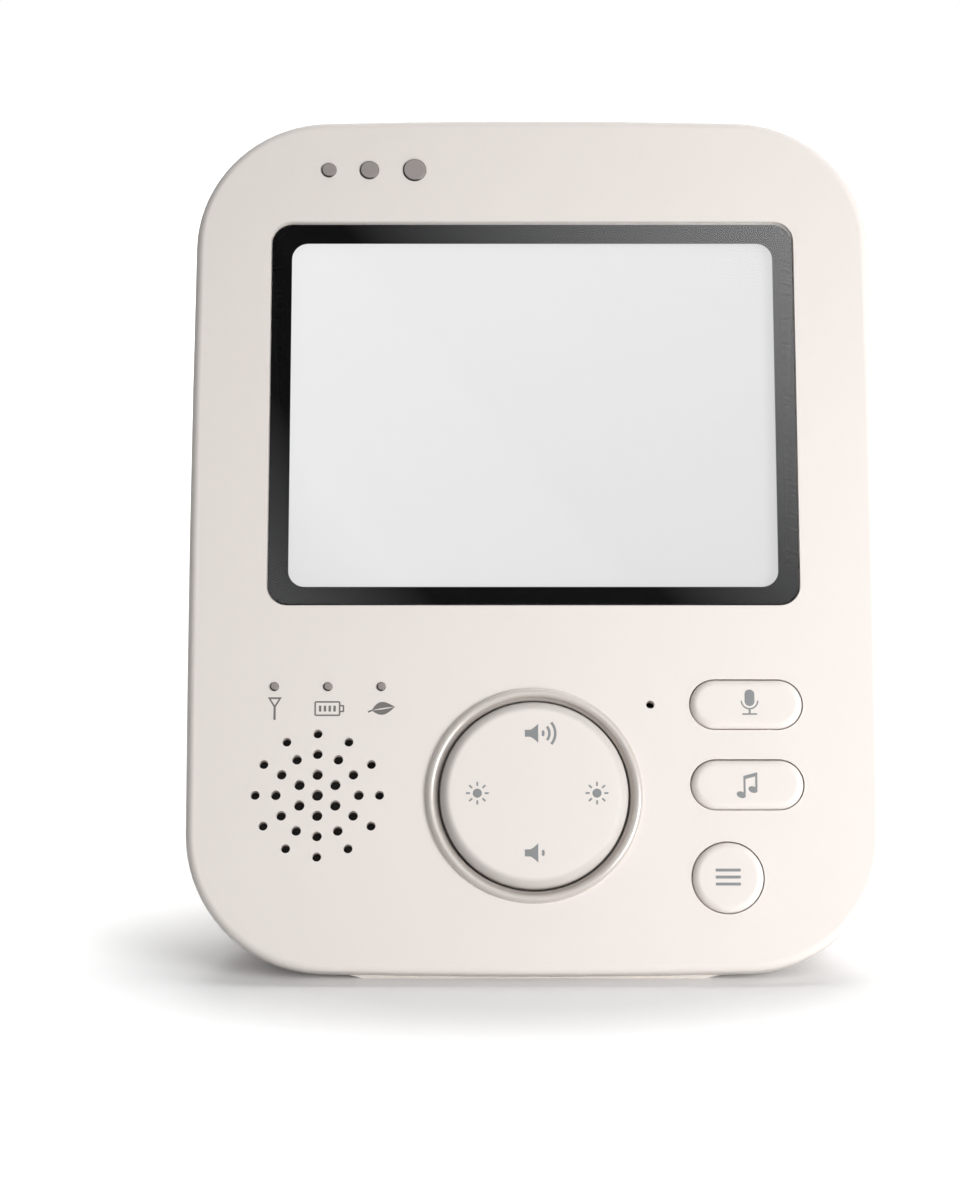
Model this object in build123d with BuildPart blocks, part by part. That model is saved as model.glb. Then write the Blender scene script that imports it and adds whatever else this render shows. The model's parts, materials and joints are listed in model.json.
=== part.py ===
"""Hand-held viewer of a video baby monitor, standing on its base with the rear stand folded out.

Every piece is drawn face up: X to the right of the face, Y up the face, Z out of it, with Z = 0 on the face
and the middle of the outline at the origin. At the end the unit is stood up at its lean, and the middle of
its base foot becomes the origin, with +Z up and the face towards -Y. All sizes are in millimetres.
"""

import os
from math import cos, hypot, radians, sin, tan

from build123d import *

# Housing
corner_speaker_margin = 6.4
side_bow = 0.45
end_bow = 1.0
front_depth = 4.0
back_taper = 26.0
back_edge_radius = 8.0
inner_edge_chamfer = 3.0
face_edge_radius = 1.2
wall = 2.0
lip_height = 1.2
lip_thickness = 1.0
seat_gap = 0.1

# Standing
lean = 24.0
foot_drop = 0.2
foot_length = 11.0
foot_side_margin = 25.5
foot_ramp = 3.5
foot_ramp_height = 0.75
foot_thickness = 1.2

# Display
window_top_margin = 16.1
window_side_margin = 11.35
window_height = 57.8
window_corner = 3.0
window_thickness = 1.2
mask_thickness = 0.15
border_side = 2.95
border_end = 2.9
view_corner = 2.4
window_ledge = 1.8
gasket_thickness = 0.5
gasket_width = 1.6
lcd_side_margin = 2.95
lcd_top_margin = 3.5
lcd_bottom_margin = 8.2
lcd_panel_thickness = 1.5
lcd_panel_rim = 0.9
lcd_backlight_thickness = 1.8
holder_wall = 1.0
holder_fit = 0.15
holder_foot = 4.0
holder_rib = 6.0
ribbon_width = 30.0
ribbon_thickness = 0.3
ribbon_reach = 2.4
ribbon_plug_height = 1.4
ribbon_plug_depth = 2.6
ribbon_fit = 0.5

# Main board
board_front = 8.5
board_thickness = 1.2
board_edge_gap = 0.5
board_post_radius = 2.2
board_post_side = 7.75
board_post_upper = 36.0
board_post_lower = 76.5
board_screw_radius = 0.9
board_screw_head_radius = 1.8
board_screw_head_height = 1.2
board_screw_reach = 4.5
screw_fit = 0.03

# Case screws
case_post_radius = 2.8
case_post_end = 7.0
top_post_side = 12.25
top_post_end = 10.75
bottom_post_side = 12.35
bottom_post_end = 9.95
case_screw_radius = 1.1
case_screw_head_radius = 2.0
case_screw_head_height = 1.5
case_screw_reach = 5.0
case_screw_seat = 12.0
counterbore_gap = 0.4
drive_width = 0.7
drive_depth = 0.6

# Round control
control_bottom_margin = 12.2
control_window_gap = 12.2
control_radius = 13.4
control_top = 1.5
control_edge_radius = 1.5
control_plate = 2.0
control_flange_reach = 1.4
control_flange_top = 2.9
control_flange_thickness = 0.9
control_skirt = 1.4
control_gap = 0.35
ring_width = 1.75
ring_seat_depth = 1.2
ring_bead_radius = 0.7
ring_inner_drop = 0.4
ring_ledge = 1.25
pivot_depth = 5.0
pivot_radius = 1.5
pivot_fit = 0.05
pivot_gap = 0.45
pivot_boss_radius = 2.6
peg_circle_radius = 9.0
peg_radius = 1.2
peg_gap = 0.45
tilt_stop = 2.0

# Press buttons
button_gap = 0.15
button_rise = 0.7
button_edge_radius = 1.1
button_flange = 0.9
button_flange_thickness = 0.8
button_flange_gap = 0.05
button_travel = 0.5
buttons_ring_gap = 6.85
buttons_side_margin = 11.4
pill_height = 7.1
talk_rise_above_control = 13.1
lullaby_rise_above_control = 1.5
menu_drop_below_control = 11.8
menu_radius = 5.05
plunger_radius = 1.3

# Switches on the board
switch_size = 4.5
switch_height = 1.6
switch_stem_radius = 1.0
switch_stem_height = 0.5

# Lights
sound_light_drop = 8.0
sound_light_side_margin = 19.67
sound_light_row = ((0.0, 1.1), (6.0, 1.4), (12.7, 1.7))
status_light_drop = 12.0
status_light_side_margin = 12.6
status_light_pitch = 7.65
status_light_radius = 0.62
light_rise = 0.25
light_edge_radius = 0.2
pipe_flange = 0.6
pipe_flange_thickness = 1.0
led_length = 1.6
led_width = 1.2
led_height = 0.6
led_gap = 0.3

# Loudspeaker and microphone
speaker_radius = 12.0
speaker_side_margin = 5.7
speaker_ring_gap = 2.15
speaker_rim_margin = 3.15
speaker_ring_counts = (6, 12, 12)
speaker_ring_hole_radii = (0.75, 0.7, 0.65)
speaker_centre_hole = 0.8
speaker_cloth_thickness = 0.3
speaker_gasket_thickness = 0.7
speaker_gasket_width = 1.8
speaker_rim_thickness = 1.0
speaker_basket_inset = 4.0
speaker_basket_depth = 4.6
speaker_coil_inset = 4.0
speaker_collar = 1.0
speaker_collar_height = 2.4
speaker_fit = 0.2
cone_thickness = 0.4
cone_depth = 2.4
dust_cap_inset = 2.0
contact_width = 1.6
microphone_button_gap = 5.7
microphone_hole = 0.6
microphone_radius = 2.0
microphone_height = 1.5
boot_wall = 1.0

# Board parts
shield_length = 24.0
shield_width = 18.0
shield_height = 2.6
shield_sheet = 0.3
shield_x = -10.0
shield_drop = 29.5
chip_size = 11.0
chip_height = 1.0
memory_length = 12.0
memory_width = 8.0
memory_gap = 3.0
antenna_length = 36.0
antenna_height = 4.0
antenna_sheet = 0.4
antenna_drop = 9.0

# Charging socket
socket_drop = 55.5
socket_width = 7.6
socket_thickness = 2.7
socket_corner = 0.9
socket_length = 5.6
socket_sheet = 0.35
socket_recess = 0.7
socket_fit = 0.3
socket_pocket_width = 11.4
socket_pocket_height = 6.2
socket_pocket_corner = 2.0
socket_pocket_depth = 1.1
tongue_width = 4.6
tongue_thickness = 0.6

# Power button
power_drop = 26.5
power_depth = 12.55
power_length = 13.0
power_width = 4.2
power_rise = 0.5
power_edge_radius = 0.25
power_flange = 0.7
power_flange_thickness = 1.0
power_flange_inset = 8.3
power_switch_length = 6.0
power_switch_width = 3.4
power_switch_height = 3.6
power_switch_stem = 0.5
power_switch_stem_length = 2.0
power_switch_stem_width = 1.2

# Stand
hinge_height = 76.0
hinge_depth = 2.4
stand_splay = 12.0
stand_side_margin = 19.75
stand_leg = 7.0
stand_bar = 8.0
stand_thickness = 4.2
stand_corner = 9.0
stand_edge_radius = 0.7
stand_eye_radius = 2.1
stand_gap = 0.4
stand_tail_inner = 0.5
channel_depth = 4.7
channel_wall = 1.6
hinge_pin_radius = 1.0
hinge_pin_fit = 0.06
hinge_seat_fit = 0.02
hinge_pin_reach = 2.6
hinge_boss_reach = 3.2
stop_gap = 0.06
pad_side_margin = 13.0
pad_width = 2.8
pad_thickness = 1.2
pad_proud = 0.5
notch_radius = 9.0
notch_depth = 5.2

# Battery and its door
door_leg_gap = 2.5
door_height = 42.0
door_drop = 10.65
door_corner = 3.0
door_thickness = 1.8
door_fit = 0.15
door_tab_width = 12.0
door_tab_height = 6.6
door_ledge = 1.2
door_screw_radius = 1.0
door_screw_head_radius = 1.9
door_screw_head_height = 1.0
door_screw_length = 6.5
tray_floor_depth = 12.0
tray_floor = 1.2
tray_wall = 2.0
door_edge_chamfer = 0.3
grip_bottom_margin = 10.5
grip_count = 4
grip_pitch = 2.4
grip_length = 18.0
grip_width = 1.0
grip_depth = 0.5
battery_side_gap = 2.0
battery_thickness = 9.0
battery_contact_room = 2.8
battery_edge_radius = 1.5
battery_contact_pitch = 6.0
battery_contact_width = 1.6
battery_contact_count = 3
battery_contact_base_height = 1.5
battery_contact_reach = 5.5
battery_contact_depth = 1.2
battery_end_gap = 0.4
terminal_thickness = 0.3

# Places that several pieces share
ring_inner = control_radius + control_gap
ring_outer = ring_inner + ring_width
speaker_room = speaker_radius + speaker_fit + speaker_collar
half_width = ring_outer + speaker_ring_gap + 2 * speaker_room + speaker_side_margin
body_width = 2 * half_width
body_depth = tray_floor_depth + tray_floor + battery_thickness + door_thickness
back_z = -body_depth
corner_radius = speaker_room + corner_speaker_margin
control_height = speaker_room + control_bottom_margin
window_bottom_height = control_height + ring_outer + control_window_gap
body_height = window_bottom_height + window_height + window_top_margin
half_height = body_height / 2
window_width = body_width - 2 * window_side_margin
view_width = window_width - 2 * border_side
view_height = window_height - 2 * border_end
lcd_width = view_width + 2 * lcd_side_margin
lcd_height = view_height + lcd_top_margin + lcd_bottom_margin
display_y = half_height - window_top_margin - window_height / 2
control_y = control_height - half_height
buttons_left = ring_outer + buttons_ring_gap
pill_length = half_width - buttons_side_margin - buttons_left
talk_y = control_y + talk_rise_above_control
lullaby_y = control_y + lullaby_rise_above_control
menu_y = control_y - menu_drop_below_control
pill_x = buttons_left + pill_length / 2
menu_x = buttons_left + menu_radius
sound_light_y = half_height - sound_light_drop
sound_light_spots = [
    (sound_light_side_margin - half_width + along, radius) for along, radius in sound_light_row
]
status_light_y = window_bottom_height - half_height - status_light_drop
status_light_spots = [
    (status_light_side_margin - half_width + n * status_light_pitch, status_light_y) for n in range(3)
]
microphone_x = buttons_left - microphone_button_gap
speaker_x = speaker_side_margin + speaker_room - half_width
speaker_y = control_y
speaker_pitch = (speaker_radius - speaker_rim_margin) / len(speaker_ring_counts)
board_back = board_front + board_thickness
case_post_spots = [
    (half_width - top_post_side, half_height - top_post_end),
    (top_post_side - half_width, half_height - top_post_end),
    (half_width - bottom_post_side, bottom_post_end - half_height),
    (bottom_post_side - half_width, bottom_post_end - half_height),
]
board_post_x = half_width - board_post_side
board_post_spots = [
    (side * board_post_x, half_height - drop)
    for side in (-1, 1)
    for drop in (board_post_upper, board_post_lower)
]
window_seat = window_thickness + mask_thickness
gasket_back = wall + gasket_thickness
lcd_y = display_y + (lcd_top_margin - lcd_bottom_margin) / 2
panel_back = gasket_back + lcd_panel_thickness
lcd_back = panel_back + lcd_backlight_thickness
switch_top = board_front - switch_height - switch_stem_height
led_top = board_front - led_height
hinge_y = hinge_height - half_height
hinge_z = back_z + hinge_depth
stand_angle = lean + stand_splay
stand_width = body_width - 2 * stand_side_margin
pad_length = stand_width - 2 * pad_side_margin
door_width = stand_width - 2 * (stand_leg + door_leg_gap)
battery_width = door_width - 2 * battery_side_gap
battery_length = door_height - 2 * door_ledge - battery_end_gap - battery_contact_room
foot_width = body_width - 2 * foot_side_margin
door_top = hinge_y - door_drop
door_y = door_top - door_height / 2
door_screw_y = door_top + door_tab_height / 2
bay_bottom = door_y - door_height / 2 + door_ledge
battery_y = bay_bottom + battery_end_gap + battery_length / 2
battery_top = battery_y + battery_length / 2
battery_contact_y = battery_top + terminal_thickness + battery_contact_depth / 2 + seat_gap
battery_contact_spots = [
    ((n - (battery_contact_count - 1) / 2) * battery_contact_pitch, battery_contact_y)
    for n in range(battery_contact_count)
]
shield_y = half_height - shield_drop
antenna_y = half_height - antenna_drop
socket_y = half_height - socket_drop
power_y = half_height - power_drop
hinge_pin_length = stand_leg + 2 * (stand_gap + hinge_pin_reach)


def side_reach(y, depth):
    """Distance of the outer side from the middle line, at a height and a depth behind the face."""
    bow = side_bow * (y / (half_height - end_bow)) ** 2
    return half_width - bow - (depth - front_depth) * tan(radians(back_taper))


def hinge_plane(x):
    """Plane across the stand's hinge axis at x, its normal along the axis."""
    return Plane(origin=(x, hinge_y, hinge_z), x_dir=(0, 1, 0), z_dir=(1, 0, 0))


def level(y, z):
    """Height of a point above the middle of the outline once the unit leans back."""
    return y * cos(radians(lean)) + z * sin(radians(lean))


def housing_outline(inset):
    """Outline with bowed sides and round corners, set in all round."""
    side_x = half_width - inset
    end_y = half_height - inset
    corner_x = side_x - side_bow
    corner_y = end_y - end_bow
    with BuildSketch() as outline:
        with BuildLine():
            ThreePointArc((-corner_x, corner_y), (0, end_y), (corner_x, corner_y))
            ThreePointArc((corner_x, corner_y), (side_x, 0), (corner_x, -corner_y))
            ThreePointArc((corner_x, -corner_y), (0, -end_y), (-corner_x, -corner_y))
            ThreePointArc((-corner_x, -corner_y), (-side_x, 0), (-corner_x, corner_y))
        make_face()
        fillet(outline.vertices(), corner_radius - inset)
    return outline.sketch


def door_outline(grow):
    """Battery door with its screw tab, grown all round."""
    with BuildSketch() as outline:
        with Locations((0, door_y)):
            RectangleRounded(door_width + 2 * grow, door_height + 2 * grow, door_corner + grow)
        with Locations((0, door_top)):
            RectangleRounded(door_tab_width + 2 * grow, 2 * door_tab_height + 2 * grow, door_corner + grow)
    return outline.sketch


def speaker_holes():
    """Rings of round holes about one in the middle, smaller towards the rim."""
    with BuildSketch() as holes:
        with Locations((speaker_x, speaker_y)):
            Circle(speaker_centre_hole)
            for ring, (count, radius) in enumerate(zip(speaker_ring_counts, speaker_ring_hole_radii)):
                with PolarLocations((ring + 1) * speaker_pitch, count, start_angle=90):
                    Circle(radius)
    return holes.sketch


def front_openings():
    """Everything that is cut right through the face."""
    with BuildSketch() as openings:
        add(speaker_holes())
        for x, radius in sound_light_spots:
            with Locations((x, sound_light_y)):
                Circle(radius + seat_gap / 2)
        with Locations(*status_light_spots):
            Circle(status_light_radius + seat_gap / 2)
        with Locations((microphone_x, talk_y)):
            Circle(microphone_hole)
        with Locations((pill_x, talk_y), (pill_x, lullaby_y)):
            SlotOverall(pill_length + 2 * button_gap, pill_height + 2 * button_gap)
        with Locations((menu_x, menu_y)):
            Circle(menu_radius + button_gap)
        with Locations((0, control_y)):
            Circle(ring_outer - ring_ledge)
        with Locations((0, display_y)):
            Rectangle(window_width - 2 * window_ledge, window_height - 2 * window_ledge)
    return openings.sketch


# Front cover
with BuildPart() as front_cover:
    with BuildSketch():
        add(housing_outline(0))
    extrude(amount=-front_depth)
    fillet(front_cover.edges().group_by(Axis.Z)[-1], face_edge_radius)
    with BuildSketch(Plane.XY.offset(-wall)):
        add(housing_outline(wall))
    extrude(amount=wall - front_depth, mode=Mode.SUBTRACT)
    with BuildSketch(Plane.XY.offset(-wall)):
        with Locations(*case_post_spots):
            Circle(case_post_radius)
    extrude(amount=wall - case_post_end)
    with BuildSketch(Plane.XY.offset(-wall)):
        with Locations(*board_post_spots):
            Circle(board_post_radius)
    extrude(amount=wall - board_front)
    with BuildSketch(Plane.XY.offset(-wall)):
        with Locations((speaker_x, speaker_y)):
            Circle(speaker_radius + speaker_fit + speaker_collar)
            Circle(speaker_radius + speaker_fit, mode=Mode.SUBTRACT)
    extrude(amount=-speaker_collar_height)
    with BuildSketch():
        with Locations((0, display_y)):
            RectangleRounded(window_width + 2 * seat_gap, window_height + 2 * seat_gap, window_corner)
    extrude(amount=-window_seat, mode=Mode.SUBTRACT)
    with BuildSketch():
        with Locations((0, control_y)):
            Circle(ring_outer)
    extrude(amount=-ring_seat_depth, mode=Mode.SUBTRACT)
    with BuildSketch():
        add(front_openings())
    extrude(amount=-wall, mode=Mode.SUBTRACT)
    with BuildSketch(Plane.XY.offset(-case_post_end)):
        with Locations(*case_post_spots):
            Circle(case_screw_radius + screw_fit)
    extrude(amount=case_screw_reach + screw_fit, mode=Mode.SUBTRACT)
    with BuildSketch(Plane.XY.offset(-board_front)):
        with Locations(*board_post_spots):
            Circle(board_screw_radius + screw_fit)
    extrude(amount=board_screw_reach + screw_fit, mode=Mode.SUBTRACT)

# Stand, drawn on its own plane: origin on the hinge axis, Y up the legs and Z towards the unit's back
stand_plane = Plane(
    origin=(0, hinge_y, hinge_z),
    x_dir=(1, 0, 0),
    z_dir=(0, -sin(radians(stand_angle)), cos(radians(stand_angle))),
)
floor_level = level(-half_height - foot_drop, -front_depth)
hinge_above_floor = level(hinge_y, hinge_z) - floor_level
stand_reach = hinge_above_floor / cos(radians(stand_splay))
channel_floor_gap = channel_depth - hinge_depth
stand_tail = (channel_floor_gap - stop_gap + stand_tail_inner * cos(radians(stand_angle))) / sin(
    radians(stand_angle)
)
leg_x = (stand_width - stand_leg) / 2
floor_up = (0, cos(radians(lean)), sin(radians(lean)))
floor_back = (0, sin(radians(lean)), -cos(radians(lean)))


def stand_outline(grow, reach, tail):
    """The stand's legs and cross bar, from the tail above the hinge down to the bar, grown all round."""
    length = tail + reach + 2 * grow
    inner_width = stand_width - 2 * stand_leg - 2 * grow
    inner_length = tail + reach - stand_bar
    with BuildSketch() as outline:
        with Locations((0, tail + grow - length / 2)):
            RectangleRounded(stand_width + 2 * grow, length, stand_corner + grow)
        with Locations((0, tail + grow - stand_corner / 2)):
            Rectangle(stand_width + 2 * grow, stand_corner)
        with Locations((0, tail + grow - inner_length / 2)):
            Rectangle(inner_width, inner_length, mode=Mode.SUBTRACT)
    return outline.sketch


pad_heel = stand_plane.from_local_coords(Vector(0, -stand_reach, 0))
pad_plane = Plane(origin=pad_heel, x_dir=(1, 0, 0), z_dir=floor_up)

with BuildPart() as stand:
    with BuildSketch(stand_plane.offset(-hinge_depth)):
        add(stand_outline(0, stand_reach + stand_bar / 2, 0))
    extrude(amount=stand_thickness)
    with BuildSketch(pad_plane.offset(pad_proud)):
        Rectangle(2 * stand_width, 2 * stand_width)
    extrude(amount=-2 * stand_width, mode=Mode.SUBTRACT)
    fillet(
        stand.edges()
        .filter_by(lambda edge: abs(stand_plane.to_local_coords(edge.center()).Z + hinge_depth) < seat_gap / 2),
        stand_edge_radius,
    )
    for side in (-1, 1):
        eye_plane = Plane(
            origin=stand_plane.from_local_coords(Vector(side * leg_x - stand_leg / 2, 0, 0)),
            x_dir=stand_plane.y_dir,
            z_dir=(1, 0, 0),
        )
        with BuildSketch(eye_plane):
            Circle(stand_eye_radius)
            with BuildLine():
                Polyline(
                    (0, -hinge_depth),
                    (stand_tail, -hinge_depth),
                    (stand_tail, -stand_tail_inner),
                    (0, -stand_tail_inner),
                    close=True,
                )
            make_face()
        extrude(amount=stand_leg)
        with BuildSketch(eye_plane):
            Circle(hinge_pin_radius + hinge_pin_fit)
        extrude(amount=stand_leg, mode=Mode.SUBTRACT)
    with BuildSketch(pad_plane):
        SlotOverall(pad_length + 2 * screw_fit, pad_width + 2 * screw_fit)
    extrude(amount=pad_thickness, mode=Mode.SUBTRACT)

# Base foot, a ramped soft pad under the lower edge, flat on the floor
foot_front = Vector(0, -half_height - foot_drop, -front_depth)
foot_plane = Plane(origin=foot_front, x_dir=(1, 0, 0), z_dir=floor_back)


def foot_section():
    """The foot's cross-section, its flat side on the floor, with ramps that run out at both ends."""
    half_flat = foot_width / 2
    half_base = half_flat + foot_ramp
    with BuildSketch() as section:
        with BuildLine():
            Polyline(
                (-half_base, -foot_thickness),
                (half_base, -foot_thickness),
                (half_base, -foot_ramp_height),
                (half_flat, 0),
                (-half_flat, 0),
                (-half_base, -foot_ramp_height),
                close=True,
            )
        make_face()
    return section.sketch


with BuildPart() as base_foot:
    with BuildSketch(foot_plane):
        add(foot_section())
    extrude(amount=foot_length)
    with BuildSketch(Plane.XY.offset(-front_depth)):
        Rectangle(2 * body_width, 2 * body_height)
    extrude(amount=front_depth, mode=Mode.SUBTRACT)

# Rear shell
with BuildPart() as outer_form:
    with BuildSketch(Plane.XY.offset(-front_depth)):
        add(housing_outline(0))
    with BuildSketch(Plane.XY.offset(back_z)):
        add(housing_outline((body_depth - front_depth) * tan(radians(back_taper))))
    loft(ruled=True)
    fillet(outer_form.edges().group_by(Axis.Z)[0], back_edge_radius)

wall_inset = wall / cos(radians(back_taper))
inner_depth = body_depth - front_depth - wall

with BuildPart() as inner_form:
    with BuildSketch(Plane.XY.offset(-front_depth)):
        add(housing_outline(wall_inset))
    with BuildSketch(Plane.XY.offset(back_z + wall)):
        add(housing_outline(wall_inset + inner_depth * tan(radians(back_taper))))
    loft(ruled=True)
    chamfer(inner_form.edges().group_by(Axis.Z)[0], inner_edge_chamfer)

channel_tail = hypot(stand_tail, hinge_depth)
folded_length = stand_reach + stand_bar / 2
folded_end_y = hinge_y - stand_reach
counterbore_radius = case_screw_head_radius + counterbore_gap
hinge_spots = [(side * leg_x, hinge_y) for side in (-1, 1)]


def channel_outline(grow):
    """Room for the folded stand, seen from behind, grown all round."""
    with BuildSketch() as outline:
        with Locations((0, hinge_y)):
            add(stand_outline(grow, folded_length, channel_tail))
    return outline.sketch


with BuildPart() as shell_fittings:
    with BuildSketch(Plane.XY.offset(back_z)):
        add(channel_outline(stand_gap + channel_wall))
    extrude(amount=channel_depth + channel_wall)
    with BuildSketch(Plane.XY.offset(back_z)):
        with Locations(*hinge_spots):
            Rectangle(stand_leg + 2 * (stand_gap + hinge_boss_reach), 2 * (hinge_depth + channel_wall))
    extrude(amount=channel_depth + channel_wall)
    with BuildSketch(Plane.XY.offset(back_z)):
        with Locations((0, folded_end_y)):
            Circle(notch_radius + channel_wall)
    extrude(amount=notch_depth + channel_wall)
    with BuildSketch(Plane.XY.offset(-tray_floor_depth)):
        add(door_outline(tray_wall - door_ledge))
    extrude(amount=tray_floor_depth - body_depth)
    with BuildSketch(Plane.XY.offset(-case_post_end)):
        with Locations(*case_post_spots):
            Circle(counterbore_radius + channel_wall)
    extrude(amount=case_post_end - body_depth)
    add(outer_form.part, mode=Mode.INTERSECT)

power_wall = Plane(
    origin=(side_reach(power_y, power_depth), power_y, -power_depth),
    x_dir=(0, 1, 0),
    z_dir=(cos(radians(back_taper)), 0, -sin(radians(back_taper))),
)
socket_depth = board_back + socket_thickness / 2
socket_wall = Plane(
    origin=(-side_reach(socket_y, socket_depth), socket_y, -socket_depth),
    x_dir=(0, 1, 0),
    z_dir=(-cos(radians(back_taper)), 0, -sin(radians(back_taper))),
)
power_side = Plane(origin=(0, power_y, -power_depth), x_dir=(0, 1, 0), z_dir=(1, 0, 0))
socket_mouth_x = side_reach(socket_y, socket_depth) - socket_recess
socket_side = Plane(origin=(-socket_mouth_x, socket_y, -socket_depth), x_dir=(0, 1, 0), z_dir=(1, 0, 0))

with BuildPart() as rear_shell:
    add(outer_form.part)
    add(inner_form.part, mode=Mode.SUBTRACT)
    add(shell_fittings.part)
    with BuildSketch(Plane.XY.offset(lip_height - front_depth)):
        add(housing_outline(wall + seat_gap))
        add(housing_outline(wall + seat_gap + lip_thickness), mode=Mode.SUBTRACT)
    extrude(amount=-lip_height - lip_thickness / tan(radians(back_taper)))
    with BuildSketch(Plane.XY.offset(back_z)):
        add(channel_outline(stand_gap))
    extrude(amount=channel_depth, mode=Mode.SUBTRACT)
    with BuildSketch(Plane.XY.offset(back_z)):
        with Locations((0, folded_end_y)):
            Circle(notch_radius)
    extrude(amount=notch_depth, mode=Mode.SUBTRACT)
    with BuildSketch(Plane.XY.offset(back_z)):
        add(door_outline(door_fit))
    extrude(amount=door_thickness, mode=Mode.SUBTRACT)
    with BuildSketch(Plane.XY.offset(back_z)):
        with Locations((0, door_y)):
            Rectangle(door_width - 2 * door_ledge, door_height - 2 * door_ledge)
    extrude(amount=body_depth - tray_floor_depth - tray_floor, mode=Mode.SUBTRACT)
    with BuildSketch(Plane.XY.offset(back_z)):
        with Locations((0, door_screw_y)):
            Circle(door_screw_radius + screw_fit)
    extrude(amount=door_screw_length + screw_fit, mode=Mode.SUBTRACT)
    with BuildSketch(Plane.XY.offset(-tray_floor_depth - tray_floor)):
        with Locations(*battery_contact_spots):
            Rectangle(battery_contact_width + 2 * seat_gap, battery_contact_depth + 2 * seat_gap)
    extrude(amount=tray_floor, mode=Mode.SUBTRACT)
    with BuildSketch(Plane.XY.offset(back_z)):
        with Locations(*case_post_spots):
            Circle(counterbore_radius)
    extrude(amount=body_depth - case_screw_seat, mode=Mode.SUBTRACT)
    with BuildSketch(Plane.XY.offset(back_z)):
        with Locations(*case_post_spots):
            Circle(case_screw_radius + screw_fit)
    extrude(amount=body_depth - case_post_end, mode=Mode.SUBTRACT)
    for side in (-1, 1):
        with BuildSketch(hinge_plane(side * leg_x - stand_leg / 2 - stand_gap - hinge_pin_reach)):
            Circle(hinge_pin_radius + hinge_seat_fit)
        extrude(amount=hinge_pin_length, mode=Mode.SUBTRACT)
    with BuildSketch(power_side):
        SlotOverall(power_length + 2 * button_gap, power_width + 2 * button_gap)
    extrude(amount=half_width, mode=Mode.SUBTRACT)
    with BuildSketch(socket_wall.offset(-socket_pocket_depth)):
        RectangleRounded(socket_pocket_width, socket_pocket_height, socket_pocket_corner)
    extrude(amount=front_depth, mode=Mode.SUBTRACT)
    with BuildSketch(socket_side):
        RectangleRounded(
            socket_width + 2 * socket_fit, socket_thickness + 2 * socket_fit, socket_corner + socket_fit
        )
    extrude(amount=socket_length, both=True, mode=Mode.SUBTRACT)
    with BuildSketch(foot_plane):
        add(foot_section())
    extrude(amount=foot_length, mode=Mode.SUBTRACT)

with BuildPart() as stand_pins:
    for side in (-1, 1):
        with BuildSketch(hinge_plane(side * leg_x - hinge_pin_length / 2)):
            Circle(hinge_pin_radius)
        extrude(amount=hinge_pin_length)

with BuildPart() as stand_pad:
    with BuildSketch(pad_plane):
        SlotOverall(pad_length, pad_width)
    extrude(amount=pad_thickness)

# Display, from the window back to the holder on the board
with BuildPart() as display_window:
    with BuildSketch():
        with Locations((0, display_y)):
            RectangleRounded(window_width, window_height, window_corner)
    extrude(amount=-window_thickness)
    chamfer(display_window.edges().group_by(Axis.Z)[-1], mask_thickness)

with BuildPart() as window_mask:
    with BuildSketch(Plane.XY.offset(-window_thickness)):
        with Locations((0, display_y)):
            RectangleRounded(window_width, window_height, window_corner)
            RectangleRounded(view_width, view_height, view_corner, mode=Mode.SUBTRACT)
    extrude(amount=-mask_thickness)

gasket_hole_width = window_width - 2 * window_ledge
gasket_hole_height = window_height - 2 * window_ledge

with BuildPart() as display_gasket:
    with BuildSketch(Plane.XY.offset(-wall)):
        with Locations((0, display_y)):
            Rectangle(gasket_hole_width + 2 * gasket_width, gasket_hole_height + 2 * gasket_width)
            Rectangle(gasket_hole_width, gasket_hole_height, mode=Mode.SUBTRACT)
    extrude(amount=-gasket_thickness)

with BuildPart() as display_panel:
    with BuildSketch(Plane.XY.offset(-gasket_back)):
        with Locations((0, lcd_y)):
            Rectangle(lcd_width - 2 * lcd_panel_rim, lcd_height - 2 * lcd_panel_rim)
    extrude(amount=-lcd_panel_thickness)

with BuildPart() as backlight:
    with BuildSketch(Plane.XY.offset(-gasket_back)):
        with Locations((0, lcd_y)):
            Rectangle(lcd_width, lcd_height)
    extrude(amount=gasket_back - lcd_back)
    with BuildSketch(Plane.XY.offset(-gasket_back)):
        with Locations((0, lcd_y)):
            Rectangle(lcd_width - 2 * lcd_panel_rim, lcd_height - 2 * lcd_panel_rim)
    extrude(amount=-lcd_panel_thickness, mode=Mode.SUBTRACT)

holder_back = lcd_back + holder_wall
holder_inner_width = lcd_width + 2 * holder_fit
holder_inner_height = lcd_height + 2 * holder_fit
holder_foot_x = holder_inner_width / 2 - holder_foot
holder_foot_y = holder_inner_height / 2 - holder_foot

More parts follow.
